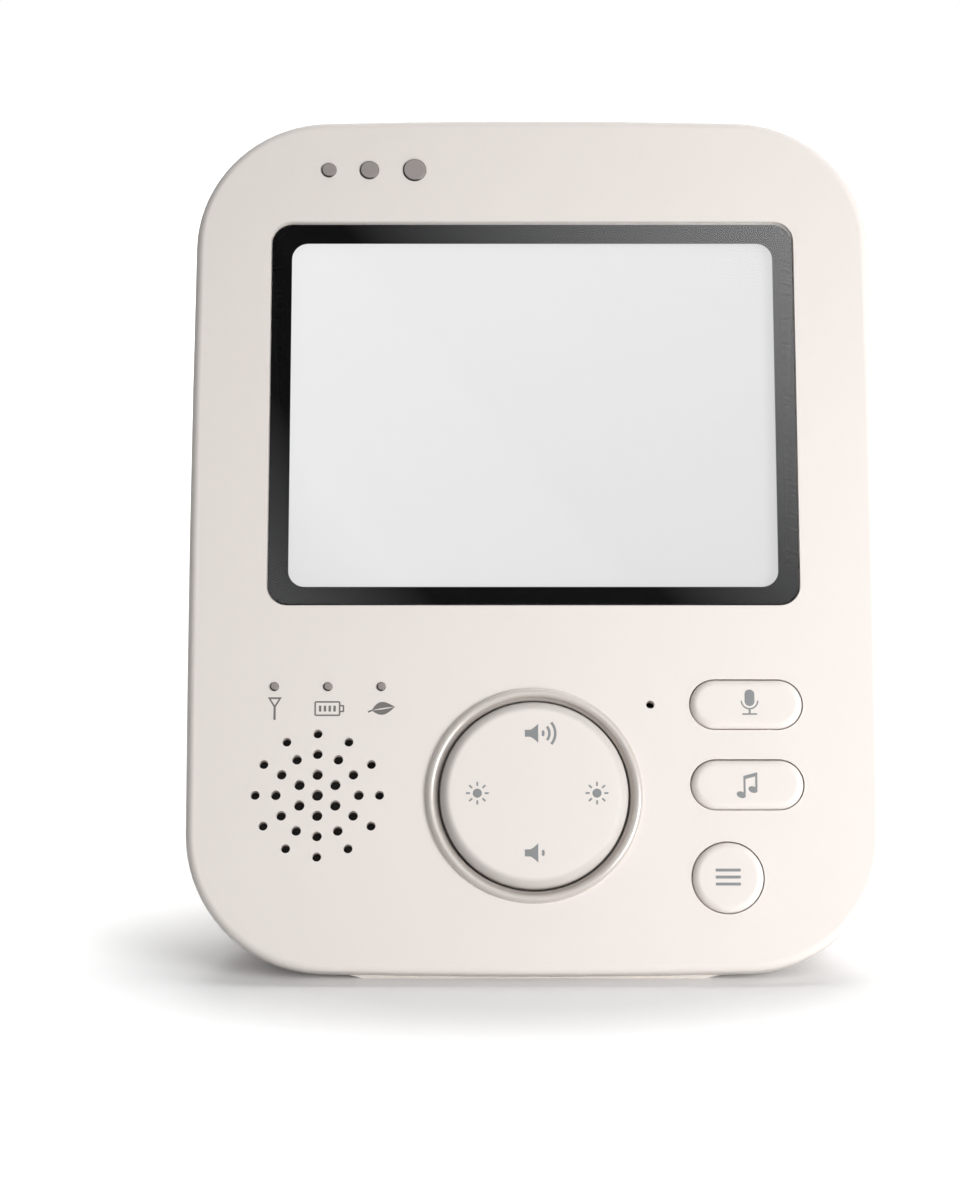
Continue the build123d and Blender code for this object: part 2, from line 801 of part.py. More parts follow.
with BuildPart() as display_holder:
    with BuildSketch(Plane.XY.offset(-wall)):
        with Locations((0, lcd_y)):
            Rectangle(holder_inner_width + 2 * holder_wall, holder_inner_height + 2 * holder_wall)
    extrude(amount=wall - holder_back)
    with BuildSketch(Plane.XY.offset(-wall)):
        with Locations((0, lcd_y)):
            Rectangle(holder_inner_width, holder_inner_height)
    extrude(amount=wall - lcd_back, mode=Mode.SUBTRACT)
    with BuildSketch(Plane.XY.offset(-lcd_back)):
        with Locations((0, lcd_y)):
            with GridLocations(holder_foot_x, holder_foot_y, 2, 2):
                RectangleRounded(holder_foot_x - holder_rib, holder_foot_y - holder_rib, holder_rib / 2)
    extrude(amount=-holder_wall, mode=Mode.SUBTRACT)
    with BuildSketch(Plane.XY.offset(-holder_back)):
        with Locations((0, lcd_y)):
            with GridLocations(2 * holder_foot_x, 2 * holder_foot_y, 2, 2):
                Rectangle(holder_foot, holder_foot)
    extrude(amount=holder_back - board_front)
    with BuildSketch(Plane.XY.offset(-panel_back)):
        with Locations((0, lcd_y - holder_inner_height / 2)):
            Rectangle(ribbon_width + 2 * ribbon_fit, 2 * holder_wall + 2 * holder_fit)
    extrude(amount=panel_back - holder_back, mode=Mode.SUBTRACT)

lcd_bottom = lcd_y - lcd_height / 2
ribbon_front = panel_back + lcd_backlight_thickness / 2
ribbon_plug_top = board_front - ribbon_plug_height
ribbon_plug_y = lcd_bottom - ribbon_reach
ribbon_side = Plane(origin=(-ribbon_width / 2, 0, 0), x_dir=(0, 1, 0), z_dir=(1, 0, 0))

with BuildPart() as display_ribbon:
    with BuildSketch(ribbon_side):
        with BuildLine():
            Polyline(
                (lcd_bottom, -ribbon_front),
                (ribbon_plug_y, -ribbon_front),
                (ribbon_plug_y, -ribbon_plug_top),
                (ribbon_plug_y + ribbon_thickness, -ribbon_plug_top),
                (ribbon_plug_y + ribbon_thickness, -ribbon_front - ribbon_thickness),
                (lcd_bottom, -ribbon_front - ribbon_thickness),
                close=True,
            )
        make_face()
    extrude(amount=ribbon_width)
    fillet(
        display_ribbon.edges().filter_by(Axis.X).sort_by(Axis.Z)[-2:].sort_by(Axis.Y)[0],
        2 * ribbon_thickness,
    )

with BuildPart() as ribbon_connector:
    with BuildSketch(Plane.XY.offset(-board_front)):
        with Locations((0, ribbon_plug_y)):
            Rectangle(ribbon_width + ribbon_plug_depth, ribbon_plug_depth)
    extrude(amount=ribbon_plug_height)
    fillet(ribbon_connector.edges().filter_by(Axis.Z), ribbon_thickness)

# Main board and what stands on it
board_inset = wall_inset + (board_back - front_depth) * tan(radians(back_taper)) + board_edge_gap

with BuildPart() as main_board:
    with BuildSketch(Plane.XY.offset(-board_front)):
        add(housing_outline(board_inset))
        with Locations(*case_post_spots):
            Circle(counterbore_radius + channel_wall + board_edge_gap, mode=Mode.SUBTRACT)
        with Locations(*board_post_spots):
            Circle(board_screw_radius + screw_fit, mode=Mode.SUBTRACT)
    extrude(amount=-board_thickness)


def screws(spots, head_top, head_radius, head_height, shank_radius, shank_length):
    """Round-headed screws driven in from behind, each with a cross slot in its head."""
    with BuildPart() as group:
        with BuildSketch(Plane.XY.offset(head_top)):
            with Locations(*spots):
                Circle(head_radius)
        extrude(amount=head_height)
        chamfer(group.edges().group_by(Axis.Z)[0], drive_depth / 2)
        with BuildSketch(Plane.XY.offset(head_top + head_height)):
            with Locations(*spots):
                Circle(shank_radius)
        extrude(amount=shank_length)
        with BuildSketch(Plane.XY.offset(head_top)):
            with Locations(*spots):
                Rectangle(2 * head_radius - drive_width, drive_width / 2)
                Rectangle(drive_width / 2, 2 * head_radius - drive_width)
        extrude(amount=drive_depth, mode=Mode.SUBTRACT)
    return group


board_screws = screws(
    board_post_spots,
    -board_back - board_screw_head_height,
    board_screw_head_radius,
    board_screw_head_height,
    board_screw_radius,
    board_thickness + board_screw_reach,
)
case_screws = screws(
    case_post_spots,
    -case_screw_seat - case_screw_head_height,
    case_screw_head_radius,
    case_screw_head_height,
    case_screw_radius,
    case_screw_seat - case_post_end + case_screw_reach,
)


def tact_switches(spots):
    """Square switches on the front of the board, each with a round stem."""
    with BuildPart() as group:
        with BuildSketch(Plane.XY.offset(-board_front)):
            with Locations(*spots):
                Rectangle(switch_size, switch_size)
        extrude(amount=switch_height)
        with BuildSketch(Plane.XY.offset(switch_height - board_front)):
            with Locations(*spots):
                Circle(switch_stem_radius)
        extrude(amount=switch_stem_height)
    return group


control_quarters = [
    (peg_circle_radius * cos(radians(90 * n)), control_y + peg_circle_radius * sin(radians(90 * n)))
    for n in range(4)
]
control_switches = tact_switches(control_quarters)
button_switches = tact_switches([(pill_x, talk_y), (pill_x, lullaby_y), (menu_x, menu_y)])

light_spots = [(x, sound_light_y) for x, _ in sound_light_spots] + status_light_spots

with BuildPart() as indicator_lamps:
    with BuildSketch(Plane.XY.offset(-board_front)):
        with Locations(*light_spots):
            Rectangle(led_length, led_width)
    extrude(amount=led_height)


def light_pipe(x, y, radius):
    """Round-edged rod, a little proud of the face, down to its lamp, held by a collar under the cover."""
    with BuildPart() as pipe:
        with BuildSketch(Plane.XY.offset(light_rise)):
            with Locations((x, y)):
                Circle(radius)
        extrude(amount=led_gap - led_top - light_rise)
        fillet(pipe.edges().group_by(Axis.Z)[-1], light_edge_radius)
        with BuildSketch(Plane.XY.offset(-wall)):
            with Locations((x, y)):
                Circle(radius + pipe_flange)
        extrude(amount=-pipe_flange_thickness)
    return pipe


sound_pipes = [light_pipe(x, sound_light_y, radius) for x, radius in sound_light_spots]
status_pipes = [light_pipe(x, y, status_light_radius) for x, y in status_light_spots]

with BuildPart() as sound_lights:
    for pipe in sound_pipes:
        add(pipe.part)

with BuildPart() as status_lights:
    for pipe in status_pipes:
        add(pipe.part)

# Microphone in its rubber boot
with BuildPart() as microphone:
    with BuildSketch(Plane.XY.offset(-board_front)):
        with Locations((microphone_x, talk_y)):
            Circle(microphone_radius)
    extrude(amount=microphone_height)

with BuildPart() as microphone_boot:
    with BuildSketch(Plane.XY.offset(-wall)):
        with Locations((microphone_x, talk_y)):
            Circle(microphone_radius + boot_wall)
    extrude(amount=wall - board_front)
    with BuildSketch(Plane.XY.offset(-board_front)):
        with Locations((microphone_x, talk_y)):
            Circle(microphone_radius)
    extrude(amount=microphone_height, mode=Mode.SUBTRACT)
    with BuildSketch(Plane.XY.offset(-board_front)):
        with Locations((microphone_x, talk_y)):
            Circle(microphone_radius - boot_wall)
    extrude(amount=board_front - wall, mode=Mode.SUBTRACT)

# Loudspeaker, its cloth, gasket and contact springs
cloth_back = wall + speaker_cloth_thickness
speaker_front = cloth_back + speaker_gasket_thickness
speaker_back = speaker_front + speaker_basket_depth
cone_radius = speaker_radius - speaker_gasket_width
basket_radius = speaker_radius - speaker_basket_inset
coil_radius = basket_radius - speaker_coil_inset
cone_edge = 2 * cone_thickness
dust_cap_top = cone_depth - cone_edge
speaker_plane = Plane(origin=(speaker_x, speaker_y, -speaker_front), x_dir=(1, 0, 0), z_dir=(0, -1, 0))
speaker_axis = Axis((speaker_x, speaker_y, 0), (0, 0, 1))

with BuildPart() as speaker_cloth:
    with BuildSketch(Plane.XY.offset(-wall)):
        with Locations((speaker_x, speaker_y)):
            Circle(speaker_radius)
    extrude(amount=-speaker_cloth_thickness)

with BuildPart() as speaker_gasket:
    with BuildSketch(Plane.XY.offset(-cloth_back)):
        with Locations((speaker_x, speaker_y)):
            Circle(speaker_radius)
            Circle(cone_radius, mode=Mode.SUBTRACT)
    extrude(amount=-speaker_gasket_thickness)

with BuildPart() as speaker_frame:
    with BuildSketch(speaker_plane):
        with BuildLine():
            Polyline(
                (0, -cone_depth),
                (coil_radius, -cone_depth),
                (cone_radius, -cone_edge),
                (cone_radius, 0),
                (speaker_radius, 0),
                (speaker_radius, -speaker_rim_thickness),
                (basket_radius, -speaker_rim_thickness - cone_edge),
                (basket_radius, -speaker_basket_depth),
                (0, -speaker_basket_depth),
                close=True,
            )
        make_face()
    revolve(axis=speaker_axis)

with BuildPart() as speaker_cone:
    with BuildSketch(speaker_plane):
        with BuildLine():
            Polyline(
                (0, -cone_depth),
                (coil_radius, -cone_depth),
                (cone_radius, -cone_edge),
                (cone_radius, cone_thickness - cone_edge),
                (coil_radius, cone_thickness - cone_depth),
                (coil_radius - dust_cap_inset, -dust_cap_top),
                (0, -dust_cap_top),
                close=True,
            )
        make_face()
    revolve(axis=speaker_axis)

with BuildPart() as speaker_contacts:
    with BuildSketch(Plane.XY.offset(-speaker_back)):
        with Locations((speaker_x, speaker_y)):
            with GridLocations(basket_radius, 0, 2, 1):
                Rectangle(contact_width, 2 * contact_width)
    extrude(amount=speaker_back - board_front)

# Radio can, processor, memory and antenna on the back of the board
with BuildPart() as radio_shield:
    with BuildSketch(Plane.XY.offset(-board_back)):
        with Locations((shield_x, shield_y)):
            Rectangle(shield_length, shield_width)
    extrude(amount=-shield_height)
    fillet(radio_shield.edges().group_by(Axis.Z)[0], shield_sheet)
    with BuildSketch(Plane.XY.offset(-board_back)):
        with Locations((shield_x, shield_y)):
            Rectangle(shield_length - 2 * shield_sheet, shield_width - 2 * shield_sheet)
    extrude(amount=shield_sheet - shield_height, mode=Mode.SUBTRACT)

with BuildPart() as processor:
    with BuildSketch(Plane.XY.offset(-board_back)):
        with Locations((shield_x, shield_y)):
            Rectangle(chip_size, chip_size)
    extrude(amount=-chip_height)

with BuildPart() as memory_chip:
    with BuildSketch(Plane.XY.offset(-board_back)):
        with Locations((shield_x + (shield_length + memory_length) / 2 + memory_gap, shield_y)):
            Rectangle(memory_length, memory_width)
    extrude(amount=-chip_height)

with BuildPart() as antenna:
    with BuildSketch(Plane.XY.offset(-board_back)):
        with Locations((0, antenna_y)):
            Rectangle(antenna_length, antenna_sheet)
    extrude(amount=-antenna_height)
    with BuildSketch(Plane.XY.offset(-board_back)):
        with Locations((0, antenna_y)):
            with GridLocations(antenna_length / 2, 0, 2, 1):
                Rectangle(antenna_length / 2 - antenna_height, antenna_sheet)
    extrude(amount=antenna_sheet - antenna_height, mode=Mode.SUBTRACT)

# Charging socket
with BuildPart() as charging_socket:
    with BuildSketch(socket_side):
        RectangleRounded(socket_width, socket_thickness, socket_corner)
    extrude(amount=socket_length)
    with BuildSketch(socket_side):
        RectangleRounded(
            socket_width - 2 * socket_sheet, socket_thickness - 2 * socket_sheet, socket_corner - socket_sheet
        )
    extrude(amount=socket_length - socket_sheet, mode=Mode.SUBTRACT)

with BuildPart() as socket_tongue:
    with BuildSketch(socket_side.offset(socket_length - socket_sheet)):
        Rectangle(tongue_width, tongue_thickness)
    extrude(amount=2 * socket_sheet - socket_length)

# Power button in the side wall and its switch
flange_x = half_width - power_flange_inset
power_stem_x = flange_x - power_flange_thickness - button_travel - button_flange_gap

with BuildPart() as power_button:
    with BuildSketch(power_side):
        SlotOverall(power_length, power_width)
    extrude(amount=half_width)
    with BuildSketch(power_wall.offset(power_rise)):
        Rectangle(body_width, body_width)
    extrude(amount=body_width, mode=Mode.SUBTRACT)
    fillet(power_button.faces().sort_by(Axis.X)[-1].edges(), power_edge_radius)
    with BuildSketch(power_side.offset(flange_x)):
        SlotOverall(power_length + 2 * power_flange, power_width + 2 * power_flange)
    extrude(amount=-power_flange_thickness)
    with BuildSketch(power_side.offset(flange_x - power_flange_thickness)):
        Rectangle(2 * body_height, 2 * body_height)
    extrude(amount=-body_width, mode=Mode.SUBTRACT)

with BuildPart() as power_switch:
    with BuildSketch(Plane.XY.offset(-board_back)):
        with Locations((power_stem_x - power_switch_stem - power_switch_width / 2, power_y)):
            Rectangle(power_switch_width, power_switch_length)
    extrude(amount=-power_switch_height)
    with BuildSketch(
        Plane(
            origin=(power_stem_x - power_switch_stem, power_y, -board_back - power_switch_height / 2),
            x_dir=(0, 1, 0),
            z_dir=(1, 0, 0),
        )
    ):
        Rectangle(power_switch_stem_length, power_switch_stem_width)
    extrude(amount=power_switch_stem)

# Round control: trim ring, tilting disc, pivot ball and its post
control_axis = Axis((0, control_y, 0), (0, 0, 1))
control_section = Plane(origin=(0, control_y, 0), x_dir=(1, 0, 0), z_dir=(0, -1, 0))
control_top_plane = Plane(origin=(0, control_y, 0), x_dir=(1, 0, 0), z_dir=(0, 0, 1))
ring_bead_inner = ring_outer - 2 * ring_bead_radius

with BuildPart() as control_ring:
    with BuildSketch(control_section):
        with BuildLine():
            Polyline(
                (ring_bead_inner, 0),
                (ring_inner, -ring_inner_drop),
                (ring_inner, -ring_seat_depth),
                (ring_outer, -ring_seat_depth),
                (ring_outer, 0),
            )
            ThreePointArc(
                (ring_outer, 0), (ring_outer - ring_bead_radius, ring_bead_radius), (ring_bead_inner, 0)
            )
        make_face()
    revolve(axis=control_axis)

skirt_inner = control_radius - control_skirt
control_flange_radius = control_radius + control_flange_reach
flange_back = control_flange_top + control_flange_thickness
peg_end = switch_top - peg_gap
pivot_centre = (0, control_y, -pivot_depth)

with BuildPart() as control_button:
    with BuildSketch(control_section):
        with BuildLine():
            Polyline(
                (0, control_top),
                (control_radius, control_top),
                (control_radius, -control_flange_top),
                (control_flange_radius, -control_flange_top),
                (control_flange_radius, -flange_back),
                (skirt_inner, -flange_back),
                (skirt_inner, control_top - control_plate),
                (0, control_top - control_plate),
                close=True,
            )
        make_face()
    revolve(axis=control_axis)
    fillet(control_button.edges().group_by(Axis.Z)[-1], control_edge_radius)
    with BuildSketch(control_top_plane.offset(control_top - control_plate)):
        with PolarLocations(peg_circle_radius, 4):
            Circle(peg_radius)
    extrude(amount=control_plate - control_top - peg_end)
    with BuildSketch(control_top_plane.offset(control_top - control_plate)):
        Circle(pivot_boss_radius)
    extrude(amount=control_plate - control_top - pivot_depth + pivot_gap)
    with Locations(pivot_centre):
        Sphere(pivot_radius + pivot_fit, mode=Mode.SUBTRACT)

with BuildPart() as control_pivot:
    with Locations(pivot_centre):
        Sphere(pivot_radius)

with BuildPart() as pivot_post:
    with BuildSketch(control_top_plane.offset(-board_front)):
        Circle(pivot_boss_radius)
    extrude(amount=board_front - pivot_depth - pivot_gap)
    with Locations(pivot_centre):
        Sphere(pivot_radius + pivot_fit, mode=Mode.SUBTRACT)


def press_button(x, y, shape):
    """Softly rounded button with a collar under the cover and a plunger over its switch."""
    collar_top = wall + button_flange_gap
    plunger_end = switch_top - button_travel - button_flange_gap
    with BuildPart() as button:
        with BuildSketch(Plane.XY.offset(button_rise)):
            with Locations((x, y)):
                shape(0)
        extrude(amount=-button_rise - collar_top)
        fillet(button.edges().group_by(Axis.Z)[-1], button_edge_radius)
        with BuildSketch(Plane.XY.offset(-collar_top)):
            with Locations((x, y)):
                shape(button_flange)
        extrude(amount=-button_flange_thickness)
        with BuildSketch(Plane.XY.offset(-collar_top)):
            with Locations((x, y)):
                Circle(plunger_radius)
        extrude(amount=collar_top - plunger_end)
    return button


def pill(grow):
    """Long button outline, grown all round."""
    return SlotOverall(pill_length + 2 * grow, pill_height + 2 * grow)


def disc(grow):
    """Round button outline, grown all round."""
    return Circle(menu_radius + grow)


talk_button = press_button(pill_x, talk_y, pill)
lullaby_button = press_button(pill_x, lullaby_y, pill)
menu_button = press_button(menu_x, menu_y, disc)

# Battery, its contacts and its door
with BuildPart() as battery_pack:
    with BuildSketch(Plane.XY.offset(-tray_floor_depth - tray_floor)):
        with Locations((0, battery_y)):
            Rectangle(battery_width, battery_length)
    extrude(amount=-battery_thickness)
    fillet(battery_pack.edges().filter_by(Axis.Y), battery_edge_radius)

terminal_plane = Plane(
    origin=(0, battery_top, -tray_floor_depth - tray_floor - battery_contact_reach / 2),
    x_dir=(1, 0, 0),
    z_dir=(0, 1, 0),
)

with BuildPart() as battery_terminals:
    with BuildSketch(terminal_plane):
        with GridLocations(battery_contact_pitch, 0, battery_contact_count, 1):
            Rectangle(2 * battery_contact_width, battery_contact_reach / 2)
    extrude(amount=terminal_thickness)

with BuildPart() as battery_contacts:
    with BuildSketch(Plane.XY.offset(-board_back)):
        with Locations((0, battery_contact_y)):
            Rectangle(
                battery_contact_count * battery_contact_pitch, battery_contact_depth + 2 * terminal_thickness
            )
    extrude(amount=-battery_contact_base_height)
    with BuildSketch(Plane.XY.offset(-board_back - battery_contact_base_height)):
        with Locations(*battery_contact_spots):
            Rectangle(battery_contact_width, battery_contact_depth)
    extrude(amount=-battery_contact_reach)

with BuildPart() as battery_door:
    with BuildSketch(Plane.XY.offset(back_z)):
        add(door_outline(0))
    extrude(amount=door_thickness)
    chamfer(battery_door.edges().group_by(Axis.Z)[0], door_edge_chamfer)
    with BuildSketch(Plane.XY.offset(back_z)):
        with Locations((0, door_screw_y)):
            Circle(door_screw_head_radius + screw_fit)
    extrude(amount=door_screw_head_height, mode=Mode.SUBTRACT)
    with BuildSketch(Plane.XY.offset(back_z)):
        with Locations((0, door_screw_y)):
            Circle(door_screw_radius + screw_fit)
    extrude(amount=door_thickness, mode=Mode.SUBTRACT)
    with BuildSketch(Plane.XY.offset(back_z)):
        with Locations((0, door_y - door_height / 2 + grip_bottom_margin)):
            with GridLocations(0, grip_pitch, 1, grip_count):
                SlotOverall(grip_length, grip_width)
    extrude(amount=grip_depth, mode=Mode.SUBTRACT)

door_screw = screws(
    [(0, door_screw_y)],
    back_z,
    door_screw_head_radius,
    door_screw_head_height,
    door_screw_radius,
    door_screw_length - door_screw_head_height,
)

# Stand the unit up on its foot
foot_middle = foot_front + foot_plane.z_dir * (foot_length / 2)
upright = Location((0, 0, 0), (90 - lean, 0, 0))
placed_middle = (upright * Pos(foot_middle)).position
placement = Pos(-placed_middle) * upright

pieces = {
    "front_cover": front_cover,
    "rear_shell": rear_shell,
    "base_foot": base_foot,
    "display_window": display_window,
    "window_mask": window_mask,
    "display_gasket": display_gasket,
    "display_panel": display_panel,
    "backlight": backlight,
    "display_holder": display_holder,
    "display_ribbon": display_ribbon,
    "ribbon_connector": ribbon_connector,
    "main_board": main_board,
    "board_screws": board_screws,
    "case_screws": case_screws,
    "control_switches": control_switches,
    "button_switches": button_switches,
    "indicator_lamps": indicator_lamps,
    "sound_lights": sound_lights,
    "status_lights": status_lights,
    "microphone": microphone,
    "microphone_boot": microphone_boot,
    "speaker_cloth": speaker_cloth,
    "speaker_gasket": speaker_gasket,
    "speaker_frame": speaker_frame,
    "speaker_cone": speaker_cone,
    "speaker_contacts": speaker_contacts,
    "radio_shield": radio_shield,
    "processor": processor,
    "memory_chip": memory_chip,
    "antenna": antenna,
    "charging_socket": charging_socket,
    "socket_tongue": socket_tongue,
    "power_button": power_button,
    "power_switch": power_switch,
    "control_ring": control_ring,
    "control_button": control_button,
    "control_pivot": control_pivot,
    "pivot_post": pivot_post,
    "talk_button": talk_button,
    "lullaby_button": lullaby_button,
    "menu_button": menu_button,
    "battery_pack": battery_pack,
    "battery_terminals": battery_terminals,
    "battery_contacts": battery_contacts,
    "battery_door": battery_door,
    "door_screw": door_screw,
    "stand": stand,
    "stand_pins": stand_pins,
    "stand_pad": stand_pad,
}

os.makedirs("parts", exist_ok=True)
for name, piece in pieces.items():
    standing = placement * piece.part
    standing.label = name
    export_step(standing, f"parts/{name}.step")
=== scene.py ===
import json
import logging
from dataclasses import dataclass, field
from enum import Enum
from math import cos, radians, sin
from typing import Any, Iterable, Optional, Union

import bmesh
import bpy
import numpy as np
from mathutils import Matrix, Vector


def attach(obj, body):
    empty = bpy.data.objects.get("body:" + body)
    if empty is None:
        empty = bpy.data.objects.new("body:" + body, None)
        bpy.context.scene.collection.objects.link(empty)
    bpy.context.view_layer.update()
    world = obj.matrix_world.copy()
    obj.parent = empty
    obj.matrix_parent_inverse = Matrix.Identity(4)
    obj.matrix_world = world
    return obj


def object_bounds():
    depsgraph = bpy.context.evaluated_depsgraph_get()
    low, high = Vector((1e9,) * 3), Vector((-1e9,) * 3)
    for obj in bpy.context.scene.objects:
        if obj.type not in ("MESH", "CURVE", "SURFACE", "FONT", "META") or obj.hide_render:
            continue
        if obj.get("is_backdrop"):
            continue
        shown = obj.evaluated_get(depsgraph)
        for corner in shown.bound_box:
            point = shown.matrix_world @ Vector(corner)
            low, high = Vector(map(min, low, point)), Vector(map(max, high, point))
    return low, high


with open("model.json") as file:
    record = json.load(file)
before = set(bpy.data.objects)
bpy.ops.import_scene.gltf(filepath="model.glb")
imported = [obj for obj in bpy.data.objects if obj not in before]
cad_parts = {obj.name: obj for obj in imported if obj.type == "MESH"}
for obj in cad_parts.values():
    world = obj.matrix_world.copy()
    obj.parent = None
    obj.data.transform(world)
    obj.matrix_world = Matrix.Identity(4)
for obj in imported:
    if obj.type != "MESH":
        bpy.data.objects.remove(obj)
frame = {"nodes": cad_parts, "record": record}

log = logging.getLogger("parent_unit")

# Metres in a millimetre. Sizes below are in millimetres where nothing else is said.
MM = 0.001

# Heights over the face, the pivot's depth under it, and the way from the control's middle up to the screen's.
CONTROL_TOP = 1.5
BUTTON_TOP = 0.7
PIVOT_DEPTH = 5.0
SCREEN_RISE = 56.0

# Print: its thickness, its clearance from the plastic, the shares of its width where its grid has points, and
# how many of its borders fit in its width.
INK_THICKNESS = 0.02
INK_LIFT = 0.004
INK_STEPS = (0.0, 0.08, 0.3, 0.7, 0.92, 1.0)
INK_BORDERS = 12

# Points closer than this many metres are one.
MERGE_DISTANCE = 1e-7

Number = Union[int, float]
Value = Union["Wire", Number]
Triple = tuple[float, float, float]
Colour = Triple
Spot = tuple[float, float]
Span = tuple[float, float]
Points = np.ndarray

ORIGIN: Triple = (0.0, 0.0, 0.0)
ACROSS: Triple = (1.0, 0.0, 0.0)
EVEN: Triple = (1.0, 1.0, 1.0)
BLACK: Colour = (0.0, 0.0, 0.0)
WHITE: Colour = (1.0, 1.0, 1.0)


class Body(str, Enum):
    """Bodies of the model that a printed sign can ride on."""

    HOUSING = "housing"
    CONTROL = "control_button"
    TALK = "talk_button"
    LULLABY = "lullaby_button"
    MENU = "menu_button"


class Operation(str, Enum):
    """Math node operations that the expressions use."""

    ADD = "ADD"
    SUBTRACT = "SUBTRACT"
    MULTIPLY = "MULTIPLY"
    DIVIDE = "DIVIDE"
    POWER = "POWER"
    MINIMUM = "MINIMUM"
    MAXIMUM = "MAXIMUM"
    SINE = "SINE"
    ABSOLUTE = "ABSOLUTE"
    FRACTION = "FRACT"


def from_display(red: int, green: int, blue: int) -> Colour:
    """Turns a colour as seen on a display into linear light.

    Args:
        red: Red, 0 to 255.
        green: Green, 0 to 255.
        blue: Blue, 0 to 255.

    Returns:
        The colour in linear light, 0 to 1.
    """
    seen = np.array([red, green, blue]) / 255
    linear = np.where(seen <= 0.04045, seen / 12.92, ((seen + 0.055) / 1.055) ** 2.4)
    return triple(linear)


def triple(values: Points) -> Triple:
    """Turns an array of three into a tuple."""
    return tuple(float(value) for value in values)


def scaled(colour: Colour, factor: float) -> Colour:
    """Multiplies a colour by a factor, up to white."""
    return tuple(min(value * factor, 1.0) for value in colour)


# Shader building


class Wire:
    """A node's output that builds Math nodes when it is used in an expression."""

    def __init__(self, graph: "Graph", socket: bpy.types.NodeSocket) -> None:
        """Keeps the node tree and the output."""
        self.graph = graph
        self.socket = socket

    def math(self, operation: Operation, *operands: Value) -> "Wire":
        """Adds a Math node.

        Args:
            operation: What the node does.
            operands: The operands, this wire included.

        Returns:
            The node's result.
        """
        settings = {"operation": operation.value}
        return self.graph.out(self.graph.node("ShaderNodeMath", settings, dict(enumerate(operands))))

    def __add__(self, other: Value) -> "Wire":
        """This plus other."""
        return self.math(Operation.ADD, self, other)

    def __radd__(self, other: Number) -> "Wire":
        """Other plus this."""
        return self.math(Operation.ADD, other, self)

    def __sub__(self, other: Value) -> "Wire":
        """This minus other."""
        return self.math(Operation.SUBTRACT, self, other)

    def __rsub__(self, other: Number) -> "Wire":
        """Other minus this."""
        return self.math(Operation.SUBTRACT, other, self)

    def __mul__(self, other: Value) -> "Wire":
        """This times other."""
        return self.math(Operation.MULTIPLY, self, other)

    def __rmul__(self, other: Number) -> "Wire":
        """Other times this."""
        return self.math(Operation.MULTIPLY, other, self)

    def __truediv__(self, other: Value) -> "Wire":
        """This divided by other."""
        return self.math(Operation.DIVIDE, self, other)

    def __rtruediv__(self, other: Number) -> "Wire":
        """Other divided by this."""
        return self.math(Operation.DIVIDE, other, self)

    def __pow__(self, other: Value) -> "Wire":
        """This to the power of other."""
        return self.math(Operation.POWER, self, other)

    def __neg__(self) -> "Wire":
        """Minus this."""
        return self.math(Operation.SUBTRACT, 0.0, self)

    def __abs__(self) -> "Wire":
        """This without its sign."""
        return self.math(Operation.ABSOLUTE, self)

    def least(self, other: Value) -> "Wire":
        """The smaller of this and other."""
        return self.math(Operation.MINIMUM, self, other)

    def most(self, other: Value) -> "Wire":
        """The larger of this and other."""
        return self.math(Operation.MAXIMUM, self, other)

    def sine(self) -> "Wire":
        """The sine of this, read as radians."""
        return self.math(Operation.SINE, self)

    def fraction(self) -> "Wire":
        """What is left of this after its whole part."""
        return self.math(Operation.FRACTION, self)

    def ramp(self, low: Number, high: Number) -> "Wire":
        """Rises smoothly with this.

        Args:
            low: Where the result starts to rise from 0.
            high: Where it reaches 1.

        Returns:
            The result, 0 to 1.
        """
        settings = {"interpolation_type": "SMOOTHSTEP"}
        sockets = {"Value": self, "From Min": low, "From Max": high}
        return self.graph.out(self.graph.node("ShaderNodeMapRange", settings, sockets))


